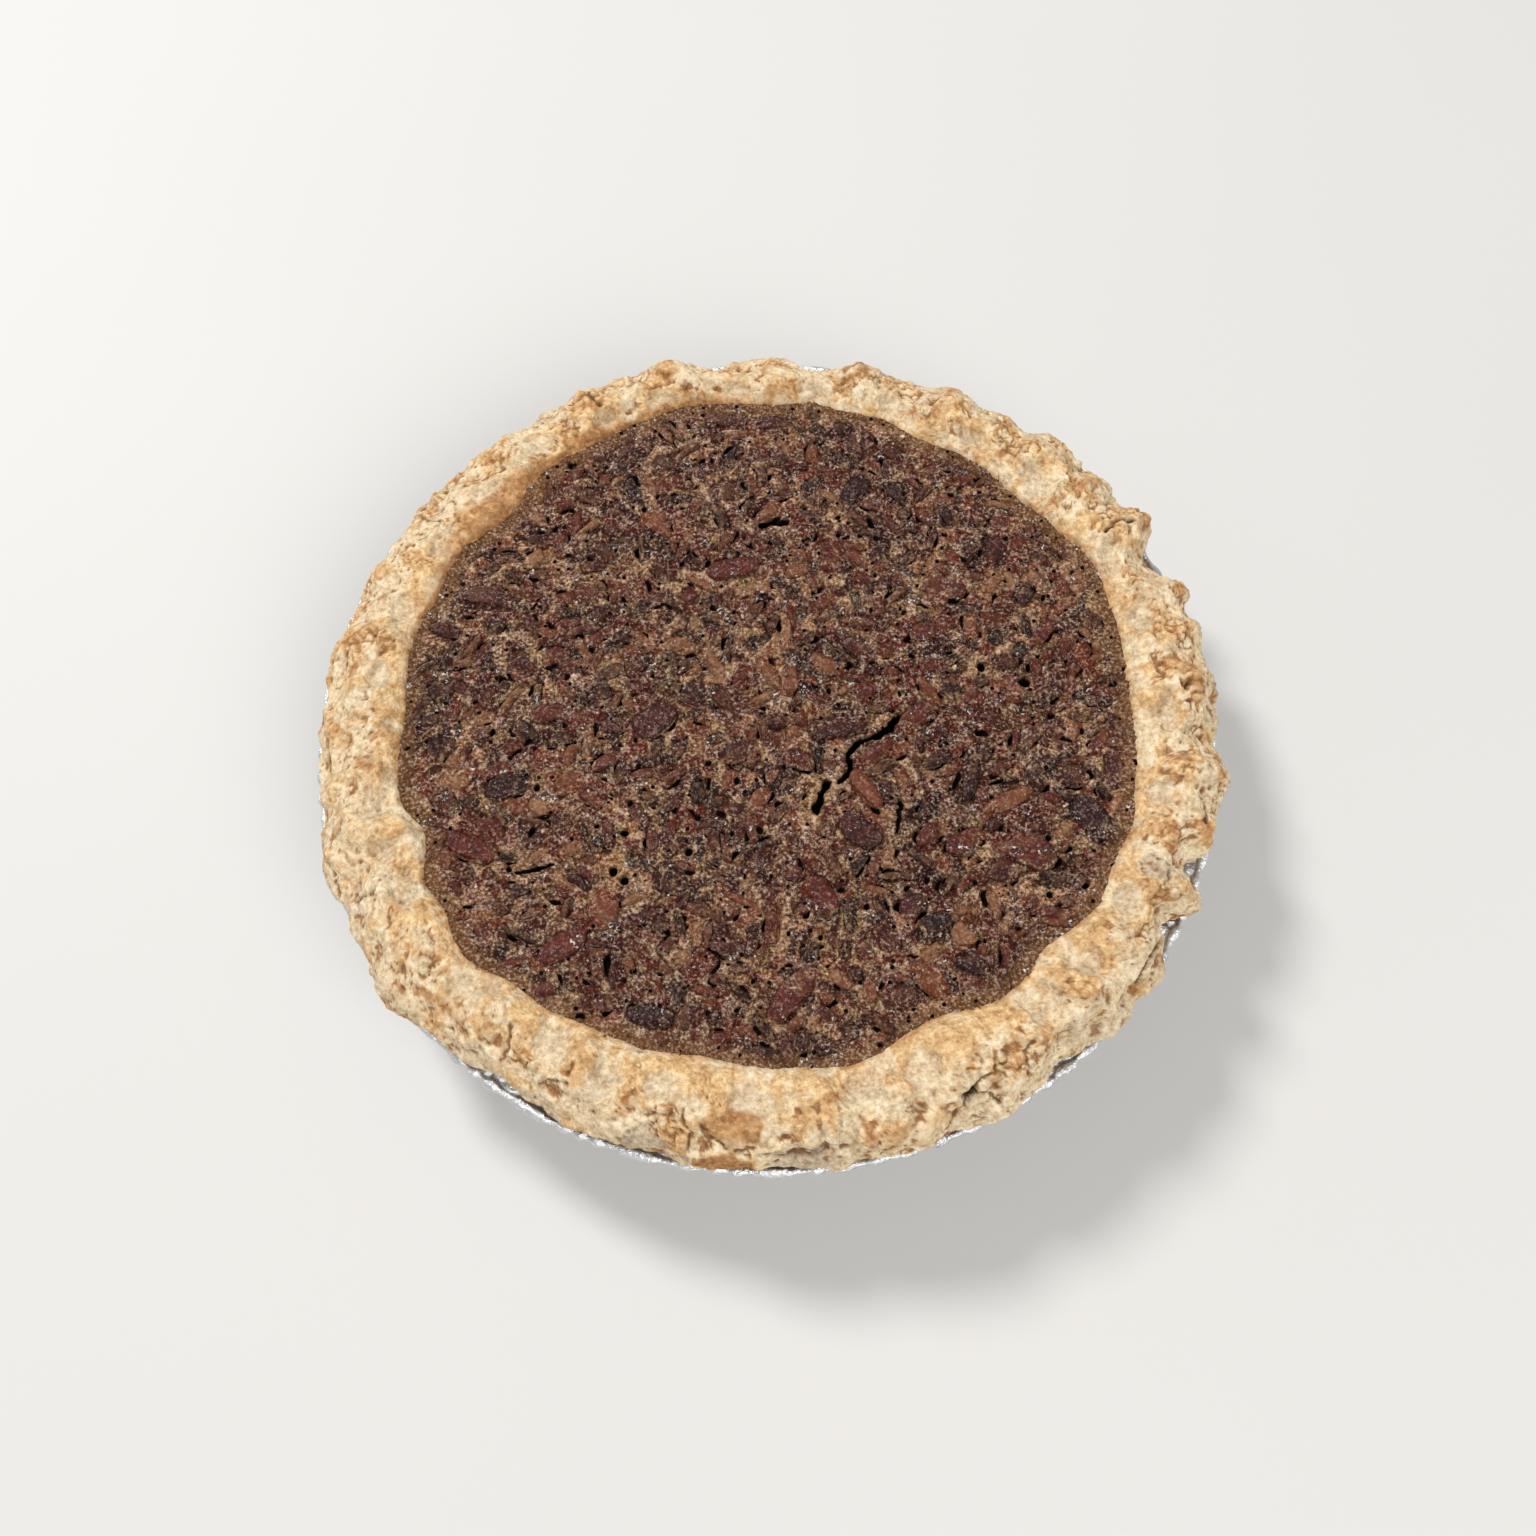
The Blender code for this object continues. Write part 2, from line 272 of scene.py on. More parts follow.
class Bench:
    # adds nodes to a tree, each with its settings first and then its sockets

    def __init__(self, tree):
        self.tree = tree

    def add(self, kind, settings=None, sockets=None, out=0):
        node = self.tree.nodes.new(kind)
        for setting, value in (settings or {}).items():
            if setting == "stops":
                self.setStops(node.color_ramp, value)
            else:
                setattr(node, setting, value)
        for name, value in (sockets or {}).items():
            self.plug(node.inputs[name], value)
        return Wire(self, node.outputs[out])

    def plug(self, socket, value):
        if isinstance(value, Wire):
            self.tree.links.new(value.socket, socket)
        else:
            socket.default_value = value

    def setStops(self, ramp, stops):
        while len(ramp.elements) < len(stops):
            ramp.elements.new(0.5)
        for element, (place, colour) in zip(ramp.elements, stops):
            element.position = place
            element.color = colour

    def mix(self, share, low, high):
        return self.add("ShaderNodeMix", {"data_type": "RGBA"}, {0: share, 6: low, 7: high}, out=2)

    def ramp(self, value, stops):
        return self.add("ShaderNodeValToRGB", {"stops": stops}, {0: value})

    def place(self):
        return self.add("ShaderNodeTexCoord", out="Object")

    def moved(self, seed):
        return self.add("ShaderNodeMapping", None, {"Vector": self.place(), "Location": (seed,) * 3})

    def noise(self, size, detail=3.0, roughness=0.55, seed=0.0):
        # size is that of its largest features, in millimetres
        sockets = {
            "Vector": self.moved(seed),
            "Scale": 1 / (size * mm),
            "Detail": detail,
            "Roughness": roughness,
        }
        return self.add("ShaderNodeTexNoise", None, sockets)

    def cells(self, size, seed=0.0):
        # distance to the middle of the nearest cell
        sockets = {"Vector": self.moved(seed), "Scale": 1 / (size * mm)}
        return self.add("ShaderNodeTexVoronoi", None, sockets, out="Distance")

    def mask(self, channel):
        masks = self.add("ShaderNodeAttribute", {"attribute_name": "masks"}, out="Color")
        return self.add("ShaderNodeSeparateColor", None, {0: masks}, out=channel)

    def maskAlpha(self):
        return self.add("ShaderNodeAttribute", {"attribute_name": "masks"}, out="Alpha")

    def bump(self, height, depth, strength=1.0):
        sockets = {"Height": height, "Distance": depth * mm, "Strength": strength}
        return self.add("ShaderNodeBump", None, sockets)


def paint(red, green, blue):
    # a colour as a screen shows it, 0 to 255, turned linear
    channels = [value / 255 for value in (red, green, blue)]
    return (*[c / 12.92 if c < 0.04045 else ((c + 0.055) / 1.055) ** 2.4 for c in channels], 1.0)


def newMaterial(name, **constants):
    # constants are the numbers of the shader that are the same all over
    material = bpy.data.materials.new(name)
    material.use_nodes = True
    shader = material.node_tree.nodes["Principled BSDF"]
    for socket, value in constants.items():
        shader.inputs[socket.replace("_", " ")].default_value = value
    return material, Bench(material.node_tree), shader.inputs


def grainOf(bench):
    # the baked film of tiny bubbles, as one number from dark to pale
    fine = bench.noise(0.85, detail=2.0, roughness=0.7)
    coarse = bench.noise(2.4, detail=3.0, roughness=0.6, seed=3.0)
    return (fine - 0.5) * 3.4 + (coarse - 0.5) * 1.2 + 0.46


def grained(bench, colour, grain):
    # the fine dark and light of the film over any colour
    dimmed = bench.mix((0.5 - grain) * 1.35, colour, paint(14, 2, 1))
    return bench.mix((grain - 0.5) * 0.85, dimmed, paint(232, 206, 186))


# From the deep places of the film to its thin golden tops.
filmColours = [
    (0.32, paint(70, 42, 32)),
    (0.42, paint(104, 70, 52)),
    (0.50, paint(134, 98, 70)),
    (0.58, paint(158, 124, 94)),
    (0.68, paint(148, 98, 64)),
]

# Tinted places in the film: their size, seed, where the noise lets them begin and fill, and their colour.
filmTints = [
    (6.5, 31.0, 0.46, 0.6, paint(142, 112, 66)),
    (5.5, 37.0, 0.54, 0.66, paint(150, 92, 56)),
    (7.5, 41.0, 0.5, 0.62, paint(100, 66, 58)),
]

# From blackish skin over purple, red and orange to the pale flesh of a broken side.
skinColours = [
    (0.00, paint(26, 13, 12)),
    (0.16, paint(44, 18, 20)),
    (0.34, paint(58, 22, 20)),
    (0.50, paint(82, 31, 24)),
    (0.64, paint(102, 45, 30)),
    (0.80, paint(110, 60, 39)),
    (1.00, paint(142, 102, 70)),
]


def filmOf(bench):
    film = bench.ramp(bench.noise(5.0, detail=4.0, roughness=0.65, seed=7.0), filmColours)
    for size, seed, low, high, colour in filmTints:
        film = bench.mix(bench.noise(size, detail=2.0, seed=seed).risen(low, high) * 0.5, film, colour)
    shaded = bench.noise(18.0, detail=3.0, seed=17.0).risen(0.44, 0.6)
    return bench.mix(shaded * 0.6, film, paint(58, 33, 25))


def skinOf(bench, tone):
    streak = bench.noise(2.2, detail=4.0, roughness=0.7, seed=11.0)
    return bench.ramp(tone + (streak - 0.5) * 0.6, skinColours)


def paintedSheenAndGlints(bench, colour):
    # painted reflection and highlights: darker greyish places stand for the sheen of wet syrup, with small
    # bright painted glints
    wetSheen = bench.noise(4.5, detail=2.0, seed=21.0).risen(0.6, 0.7)
    sparkle = bench.noise(0.75, detail=1.0, seed=13.0)
    colour = bench.mix(wetSheen * 0.35, colour, paint(38, 30, 30))
    paintedGlint = sparkle.risen(0.58, 0.66) * wetSheen * 0.75 + sparkle.risen(0.69, 0.74) * 0.4
    return bench.mix(paintedGlint, colour, paint(216, 208, 200))


def custardFinish():
    # masks: how much of a sunken pecan shows, its tone, painted shade in the gaps beside pecans and in the
    # cracks and holes, and the browner band at the rim
    material, bench, shader = newMaterial("custard", Specular_IOR_Level=0.04)
    shows, tone, dark = (bench.mask(channel) for channel in ("Red", "Green", "Blue"))
    rim = bench.maskAlpha()
    grain = grainOf(bench)
    soft = bench.noise(1.8, detail=2.0, seed=8.0)
    colour = bench.mix(rim * 0.9, filmOf(bench), paint(104, 70, 42))
    cover = (shows + (soft - 0.5) * 1.2).risen(0.3, 0.7) * (1 - 0.75 * rim)
    colour = bench.mix(cover * 0.9, colour, skinOf(bench, tone))
    calmer = 0.5 + (grain - 0.5) * (1 - 0.35 * cover - 0.4 * rim)
    colour = paintedSheenAndGlints(bench, grained(bench, colour, calmer))
    # painted shade: small pits in patches, and larger pits, turn near black as shade fills them
    small = (1 - bench.cells(1.9, seed=5.0).risen(0.12, 0.2)) * bench.noise(8.0, seed=6.0).risen(0.46, 0.54)
    pit = 1 - bench.cells(3.8, seed=15.0).risen(0.12, 0.16)
    colour = bench.mix(small * 0.7 + pit, colour, paint(10, 3, 1))
    # painted shade and shadow from the mask: beside pecans and in the cracks and holes
    colour = bench.mix((dark + (grain - 0.5) * 0.15).risen(0.3, 0.62), colour, paint(8, 3, 2))
    bench.plug(shader["Base Color"], colour)
    bench.plug(shader["Roughness"], 0.7 - 0.4 * bench.noise(3.0, seed=2.0))
    relief = bench.noise(1.1, detail=3.0, roughness=0.7) + bench.noise(2.8, seed=3.0) - pit
    bench.plug(shader["Normal"], bench.bump(relief, 0.6, 1.0))
    return material


# Dark, middle and light shades of each kind of baked pastry.
pastryShades = {
    "cream": ((178, 150, 114), (220, 197, 160), (244, 230, 202)),
    "baked": ((166, 122, 76), (210, 170, 120), (242, 216, 168)),
    "brown": ((116, 74, 42), (164, 114, 68), (208, 162, 110)),
    "dusty": ((150, 128, 104), (190, 170, 142), (224, 210, 186)),
}


def pastryFinish():
    # masks: golden, toasted (which also carries painted shade), painted shade in cracks, creases and pits,
    # and the greyish thumb hollows
    material, bench, shader = newMaterial("pastry", Specular_IOR_Level=0.2)
    golden, toasted, dark = (bench.mask(channel) for channel in ("Red", "Green", "Blue"))
    grey = bench.maskAlpha()
    fine = bench.noise(1.2, detail=3.0, roughness=0.65)
    flake = bench.noise(3.2, detail=4.0, roughness=0.65, seed=4.0)
    mottle = bench.noise(8.0, detail=3.0, roughness=0.55, seed=9.0)
    shade = 0.5 + (fine - 0.5) * 1.5 + (flake - 0.5) * 1.5
    shaded = {}
    for name, colours in pastryShades.items():
        stops = [(place, paint(*colour)) for place, colour in zip((0.1, 0.5, 0.9), colours)]
        shaded[name] = bench.ramp(shade, stops)
    isBaked = (golden + (mottle - 0.5) * 1.4 + (flake - 0.5) * 0.8).risen(0.25, 0.8)
    isDusty = (grey + (flake - 0.5) * 0.8 + (mottle - 0.5) * 0.8).risen(0.15, 0.95)
    # the brown stands both for toasting and for painted shade
    isBrownOrShaded = (toasted + (flake - 0.5) * 0.9 + (fine - 0.5) * 0.6).risen(0.2, 0.9)
    colour = bench.mix(isBaked, shaded["cream"], shaded["baked"])
    colour = bench.mix(isDusty * 0.9, colour, shaded["dusty"])
    colour = bench.mix(isBrownOrShaded * 0.95, colour, shaded["brown"])
    # painted shade: near black in cracks, creases and pits
    colour = bench.mix(dark, colour, paint(38, 22, 13))
    bench.plug(shader["Base Color"], colour)
    bench.plug(shader["Roughness"], 0.55 + 0.3 * mottle)
    bench.plug(shader["Normal"], bench.bump(0.6 * fine + flake, 0.8, 1.0))
    return material


def nutFinish():
    # masks: tone, how much custard film covers the skin, and broken pale flesh
    material, bench, shader = newMaterial("pecanSkin", Specular_IOR_Level=0.15)
    tone, film, flesh = (bench.mask(channel) for channel in ("Red", "Green", "Blue"))
    soft = bench.noise(1.8, detail=2.0, seed=8.0)
    cover = (film + (soft - 0.5) * 1.1).risen(0.3, 0.8)
    colour = bench.mix(flesh * 0.5, skinOf(bench, tone), paint(128, 86, 56))
    colour = bench.mix(cover * 0.8, colour, filmOf(bench))
    grain = 0.5 + (grainOf(bench) - 0.5) * (0.3 + 0.5 * cover)
    bench.plug(shader["Base Color"], paintedSheenAndGlints(bench, grained(bench, colour, grain)))
    bench.plug(shader["Roughness"], 0.36 + 0.3 * cover)
    fine = bench.noise(1.1, detail=3.0, roughness=0.7)
    streak = bench.noise(2.2, detail=4.0, roughness=0.7, seed=11.0)
    bench.plug(shader["Normal"], bench.bump(fine + streak, 0.55, 1.0))
    return material


def foilFinish():
    material, bench, shader = newMaterial("foil", Metallic=1.0)
    wrinkle = bench.noise(1.6, detail=5.0, roughness=0.6)
    crumple = bench.noise(4.0, detail=2.0, seed=3.0)
    colour = bench.mix(bench.noise(6.0, seed=2.0), paint(214, 216, 220), paint(240, 241, 243))
    bench.plug(shader["Base Color"], colour)
    bench.plug(shader["Roughness"], 0.16 + 0.25 * bench.noise(3.0, seed=5.0))
    bench.plug(shader["Normal"], bench.bump(wrinkle + crumple, 0.9, 0.9))
    return material


# The crust is the CAD rim seen from the middle of its section, made fine and then given its lumps,
# cracks and pits. Lengths are in millimetres.
crust = {
    "columns": 1260,
    "rows": 78,
    "middle": (105.5, 32.5),  # radius and height that the section is drawn round
    "turns": (157, -58),  # from inside the lip, over the crest and round under the edge
    "softening": 0.8,  # degrees, over the steps of the CAD rim
    "lipHeight": 40.6,  # where the filling meets the pastry
    "wallEnd": 97,  # radius where the smooth inner wall ends, at the back
    "frontWall": 5.2,  # how much farther it reaches at the front
    "clearance": 0.1,  # kept free inside the CAD box
    "lump": 0.6,  # height of the large swells of the crest, and their size
    "lumpSize": 9,
    "cobble": 1.0,
    "cobbleSize": 5.0,
    "blob": 0.95,  # small round blobs that lie in groups
    "blobSize": 2.7,
    "flake": 1.2,
    "flakeSize": 7,
    "pit": 0.8,
    "pitSize": 3.6,
    "fold": 0.8,  # how far the folds between the hollows stand out
    "brow": 0.7,  # the ridge along the top of the inner wall
    "wallRipple": 0.3,
    "pleat": 0.4,  # fine folds that run down the inner wall
    "hollow": 2.3,  # how much deeper the thumb hollows are than listed
    "knob": 1.3,  # how much taller the knobs are than listed
}

# Smooth thumb hollows on the inner wall: angle, half width and half depth in millimetres, depth.
thumbHollows = [
    (14, 6.5, 5, 0.9), (25, 5.5, 5, 1.0), (42, 7, 6, 1.0), (55, 5, 4.5, 1.1), (69, 5, 4, 0.8),
    (82, 6, 4, 0.7), (95, 5.5, 4, 0.9), (108, 5, 4, 0.7), (118, 4.5, 4, 0.9), (140, 6, 4, 0.7),
    (152, 5, 4, 0.8), (164, 5, 4.5, 0.9), (176, 5.5, 4, 0.8), (197, 5.5, 5, 0.9), (204, 4.5, 4, 0.5),
    (210, 5, 5, 0.6), (228, 6, 6, 0.9), (241, 6, 6, 0.9), (249, 5, 5, 0.7), (256, 5, 5, 0.7),
    (268, 6, 6, 1.0), (282, 6, 7, 0.9), (290, 5, 7, 0.8), (309, 6, 6, 1.1), (317, 5, 6, 1.2),
    (328, 6, 5, 1.0), (345, 6, 5, 0.9), (358, 6, 5, 0.9),
]

# Knobs and folds that stand up: angle, radius, half width, half depth, height, and how brown they are.
knobs = [
    (3.5, 110, 7.5, 6.5, 0.9, 0.7), (2, 107, 3, 2, -0.9, 0.6), (12, 116, 5, 3, 0.5, 0.5),
    (18.5, 117.5, 3.5, 3, 0.9, 0.9), (30, 118, 4, 3.5, 0.9, 0.7), (37, 109, 1.6, 8, 0.7, 0.3),
    (41, 110, 1.4, 7, 0.6, 0.3), (47, 109, 1.6, 7, 0.7, 0.4), (53, 107, 1.5, 8, 0.7, 0.8),
    (62, 104, 2, 10, 0.9, 0.4), (68.5, 110, 4, 3, 0.4, 0.8), (76.5, 109, 4.5, 4, 0.9, 0.5),
    (90, 108, 4, 5, 0.6, 0.3), (105.5, 109, 6, 5, 0.9, 0.4), (118, 106, 2, 7, 0.8, 0.5),
    (122, 106, 1.8, 7, 0.6, 0.4), (134, 108, 5, 5, 0.7, 0.3), (141, 112, 5, 3, 0.3, 0.8),
    (159, 109, 6, 6, 0.7, 0.3), (171.5, 109, 6, 5, 0.6, 0.7), (178, 106, 4, 4, 0.8, 0.4),
    (184, 98.5, 3, 2.6, 1.2, 0.5), (184, 111, 5, 4, 0.6, 0.8), (192, 101, 2, 6, 0.8, 0.5),
    (202, 97, 5.5, 4, 1.1, 0.3), (211, 98, 3, 2.6, 1.0, 0.6), (216, 97.5, 3.5, 2.6, 0.9, 0.3),
    (231, 106, 5.5, 6.5, 0.9, 0.5), (245.5, 100.5, 3.5, 2.8, 0.8, 0.3), (243.5, 112, 3, 2.2, -1.2, 0.9),
    (260.5, 110, 3, 5, 0.6, 0.5), (266, 108, 9, 4.5, 0.7, 0.6), (277.5, 106, 2, 11, 0.9, 0.4),
    (286, 113, 13, 3.5, 0.5, 0.6), (287, 106, 14, 2.0, 0.5, 0.3), (294.5, 100, 5, 6, 0.9, 0.1),
    (299, 111, 6, 5, 0.7, 0.4), (306, 110, 4.5, 5, 0.7, 0.5), (314, 106.5, 4.5, 3.5, 0.9, 0.7),
    (313, 115, 4, 2.5, -0.8, 0.1), (323, 112, 6, 4, 0.6, 0.4), (333.5, 113, 2.4, 6, 0.8, 0.4),
    (342, 113, 4, 4, 0.6, 0.9), (350.5, 106, 2.5, 6, 0.9, 0.9), (350.5, 116, 4, 3, 0.6, 0.8),
    (356.5, 111, 4, 4, 0.5, 0.7), (33, 113, 1.6, 1.4, -1.5, 1.0),
]

# Smooth baked slabs, and greyish flaky layers under them, with the same six values as the knobs.
slabs = [
    (265.2, 116, 8.5, 3.2, 0.7, 0.95), (265.5, 108.5, 9, 4, 0.5, 0.68), (286, 113.5, 11, 3, 0.5, 0.5),
    (225, 113, 8, 4, 0.4, 0.3),
]
greyLayers = [
    (274, 115.5, 9, 3, -0.9, 0.1), (255.5, 115, 5.5, 4, -0.7, 0.1), (334, 105, 4, 5, -0.3, 0.1),
]

# Cracks: half width, depth, how dark their painted shade is, then the corners as angle and radius.
cracks = [
    (0.22, 0.6, 0.5, [(291.0, 114.5), (292.8, 112.5), (294.5, 110.5), (297, 109.6), (300, 108)]),
    (0.7, 3.0, 1.0, [(294.0, 111.4), (295.0, 110.9)]),
    (0.22, 0.6, 0.5, [(294.8, 111), (297.0, 113.5), (298.3, 117.5)]),
    (0.22, 0.5, 0.4, [(262, 109.5), (264.5, 112), (268, 113.5), (273, 113.8), (278, 113), (283, 113.6)]),
    (0.22, 0.5, 0.3, [(272, 114), (275, 114.6), (279, 113.2)]),
    (0.28, 0.7, 0.4, [(259.5, 106.5), (260, 109), (261, 111.5), (260.6, 114)]),
    (0.45, 1.3, 0.65, [(28.8, 104), (29.4, 108), (29.0, 113)]),
    (0.5, 1.5, 0.6, [(117.3, 103), (117.6, 108), (117.2, 112)]),
    (0.4, 0.9, 0.6, [(2.5, 105.6), (1.6, 107), (2.6, 108.4)]),
    (0.4, 0.9, 0.5, [(320.5, 114.5), (323, 113.4), (326.5, 113.6)]),
    (0.3, 0.7, 0.3, [(302, 112.5), (303, 109), (305, 107.5)]),
    (0.3, 0.7, 0.3, [(235, 104), (236.5, 108), (236, 112)]),
    (0.3, 0.7, 0.3, [(207.5, 104), (209, 109), (208, 114)]),
    (0.35, 0.7, 0.35, [(72.5, 103), (73.2, 108), (72.4, 112)]),
    (0.35, 0.7, 0.3, [(148, 104), (148.8, 109), (148, 113)]),
    (0.3, 0.6, 0.35, [(241.5, 113), (242.5, 110.5), (245, 109)]),
    (0.35, 0.9, 0.5, [(343, 112.5), (345.5, 112.2)]),
    (0.3, 0.7, 0.4, [(332, 108.5), (334.5, 107.6)]),
]

# Where the pastry edge draws back and shows the foil: angle, half width in degrees, how far in millimetres.
drawnBack = [
    (238, 15, 1.6), (24, 4.2, 1.8), (306.5, 3, 1.8), (328.5, 3.2, 2.6), (338, 3.5, 2.2), (356, 3, 1.0),
    (82, 5, 2.2), (193, 20, 1.1),
]


def arcAway(angle, reach, degrees):
    # millimetres round the pie from an angle
    return np.radians((angle - degrees + 180) % 360 - 180) * reach


def lipReach():
    # the radius at which the filling meets the pastry, for each degree
    rays = cadRays("crust")
    reaches = []
    for degrees in range(360):
        outward = Vector((math.cos(math.radians(degrees)), math.sin(math.radians(degrees)), 0))
        reaches.append(rays.ray_cast(Vector((0, 0, crust["lipHeight"])), outward)[3])
    return blurred(np.array(reaches)[:, None], 1.2)[:, 0]


lip = lipReach()


def lipAt(x, y):
    return np.interp(np.degrees(np.arctan2(y, x)) % 360, np.arange(361), np.append(lip, lip[0]))


def crackDistance(angle, reach, corners):
    # distance to a bent line on the rim, in millimetres
    nearest = np.full(angle.shape, 99.0)
    for (degreesA, radiusA), (degreesB, radiusB) in zip(corners, corners[1:]):
        startX, startY = arcAway(angle, reach, degreesA), reach - radiusA
        spanX, spanY = math.radians(degreesB - degreesA) * radiusA, radiusB - radiusA
        share = np.clip((startX * spanX + startY * spanY) / (spanX**2 + spanY**2), 0, 1)
        nearest = np.minimum(nearest, np.hypot(startX - share * spanX, startY - share * spanY))
    return nearest


def cadRim():
    # the CAD rim's skin as a grid of columns round the pie and rows over its section
    rays = cadRays("crust")
    middleRadius, middleHeight = crust["middle"]
    turns = np.radians(np.linspace(*crust["turns"], crust["rows"]))
    coarse = crust["columns"] // 4
    lengths = np.zeros((coarse, crust["rows"]))
    for column in range(coarse):
        around = 2 * math.pi * column / coarse
        outward = Vector((math.cos(around), math.sin(around), 0))
        middle = outward * middleRadius + Vector((0, 0, middleHeight))
        for row, turn in enumerate(turns):
            hit = rays.ray_cast(middle, outward * math.cos(turn) + Vector((0, 0, math.sin(turn))))
            lengths[column, row] = hit[3]
    closed = np.vstack([lengths, lengths[:1]])
    share = np.arange(crust["columns"]) / 4
    low = share.astype(int)
    part = (share - low)[:, None]
    lengths = closed[low] * (1 - part) + closed[low + 1] * part
    lengths = blurred(lengths, crust["softening"] * crust["columns"] / 360, 0.8)
    around = 2 * np.pi * np.arange(crust["columns"])[:, None] / crust["columns"]
    radius = middleRadius + lengths * np.cos(turns)
    height = middleHeight + lengths * np.sin(turns)
    return np.stack([radius * np.cos(around), radius * np.sin(around), height], axis=-1)


def awayFrom(at, degrees, radius, wide, deep):
    # 0 in the middle of an oval on the rim, and 1 on its edge
    return np.hypot(arcAway(at.angle, at.reach, degrees) / wide, (at.reach - radius) / deep)


def pressHollows(at):
    # thumb hollows along the inner wall
    at.hollow = np.zeros_like(at.reach)
    bend = 0.45 * softNoise(at.skin, 5, 39) + 0.2 * softNoise(at.skin, 2.2, 38)
    for degrees, wide, deep, depth in thumbHollows:
        middle = 98.5 + 4.5 * (0.5 - 0.5 * math.sin(math.radians(degrees)))
        away = awayFrom(at, degrees, middle, wide, deep) + bend
        at.raised -= crust["hollow"] * depth * smooth(1.15, 0.5, away)
        at.hollow = np.maximum(at.hollow, smooth(1.15, 0.55, away))


def raiseKnobs(at):
    # knobs and folds, more or less toasted
    at.toasted = np.zeros_like(at.reach)
    bend = 0.25 * softNoise(at.skin, 2.5, 40)
    for degrees, radius, wide, deep, tall, brown in knobs:
        away = awayFrom(at, degrees, radius, wide, deep) + bend
        at.raised += crust["knob"] * tall * (0.6 * dome(away) + 0.4 * hill(away, 1.2))
        at.toasted = np.maximum(at.toasted, brown * hill(away, 1.2))


def findWall(at):
    # the inner wall is smooth, with a brow along its top, and the crest beyond it is rough
    wallEnd = crust["wallEnd"] + crust["frontWall"] * at.front**1.8
    wallEnd = wallEnd + 2.2 * softNoise(at.skin, 11, 3) + 1.2 * softNoise(at.skin, 4, 2)
    at.pastWall = at.reach - wallEnd
    at.onWall = 1 - smooth(-1.5, 2.5, at.pastWall)
    at.rough = smooth(-1.5, 1.5, at.pastWall) * (1 - 0.9 * at.hollow)
    at.ridge = (1 - at.rough) * smooth(0.9, 0.0, at.hollow)
    besideWall = at.pastWall - 0.8 - 0.6 * softNoise(at.skin, 3, 43)
    at.brow = hill(besideWall, 2.0) * (0.65 + 0.7 * softNoise(at.skin, 5, 44))


def laySlabs(at):
    # slabs stand up and grey layers lie lower, and both are even, without blobs
    at.even = np.zeros_like(at.reach)
    at.slabGrey = np.zeros_like(at.reach)
    bend = 0.3 * softNoise(at.skin, 3, 41)
    for degrees, radius, wide, deep, tall, brown in slabs + greyLayers:
        away = awayFrom(at, degrees, radius, wide, deep) + bend
        at.raised += tall * smooth(1.15, 0.85, away)
        at.even = np.maximum(at.even, smooth(1.2, 0.9, away))
        at.toasted = np.maximum(at.toasted, brown * smooth(1.1, 0.6, away))
        if tall < 0:
            at.slabGrey = np.maximum(at.slabGrey, smooth(1.1, 0.7, away))


def raiseCrest(at):
    # large swells, cobbles and flakes
    swells = lumps(at.warp, crust["lumpSize"], 5)
    nearest = cobbles(at.warp, crust["cobbleSize"], 4)[0]
    patches = 0.4 + 0.6 * smooth(-0.2, 0.5, softNoise(at.skin, 15, 31))
    rubble = (dome(nearest / 0.9) - 0.6) * patches
    flaky = terraced(layered(at.warp * (1, 1, 1.6), crust["flakeSize"], 33, 3), 3.5)
    at.raised += at.rough * (crust["lump"] * swells + crust["cobble"] * rubble + crust["flake"] * flaky)


def raiseBlobs(at):
    # blobs with brown seams lie in groups, mostly on the knobs and hardly on the left
    grouped = np.maximum(smooth(0.0, 0.3, layered(at.skin, 8, 77, 2)), 1.6 * at.toasted)
    grouped *= 1 - 0.75 * at.leftSide
    blobby = np.maximum(at.rough, 0.7 * at.ridge * smooth(95.5, 98, at.reach))
    at.clustered = np.minimum(blobby * grouped, 1) * (1 - at.even)
    swayed = at.skin + wobble(at.skin, 2.6, 26)
    _, at.seam, at.blobNumber = cobbles(swayed, crust["blobSize"], 61)
    blob = smooth(0.0, 0.42, at.seam) * (0.4 + 0.6 * at.blobNumber)
    at.raised += at.clustered * crust["blob"] * (blob - 0.4)


def foldWall(at):
    # folds between the hollows, the brow over them and fine pleats down the wall, all flat at the lip
    folds = crust["fold"] * at.ridge * (0.6 + 0.5 * softNoise(at.skin, 4, 42))
    at.raised += folds + crust["brow"] * at.brow * (1 + 0.7 * at.leftSide)
    around = np.radians(at.angle)
    downhill = np.stack([100 * np.cos(around), 100 * np.sin(around), 0.25 * at.height], axis=-1)
    at.pleats = layered(downhill + 0.4 * (at.warp - at.skin), 1.9, 45, 2)
    at.raised += crust["pleat"] * (1 - at.rough) * at.pleats * (1 + at.leftSide)
    at.raised *= 1 - (1 - smooth(at.lipRow + 0.2, at.lipRow + 3.2, at.reach)) * (at.height > 36)


def wrinkleSkin(at):
    # fine wrinkles on the crest and ripples on the wall
    lines = np.abs(layered(at.warp * (1, 1, 1.5), 5, 88, 3))
    patches = smooth(-0.2, 0.2, softNoise(at.skin, 5, 92))
    at.wrinkle = smooth(0.09, 0.0, lines) * patches * (1 - at.clustered)
    at.raised += 0.2 * layered(at.skin, 1.8, 12, 2) * (0.3 + 0.7 * at.rough) - 0.35 * at.wrinkle
    ripple = softNoise(at.skin * (1, 1, 2), 4.5, 14) + 0.5 * softNoise(at.skin, 1.9, 15)
    at.raised += (1 - at.rough) * crust["wallRipple"] * ripple


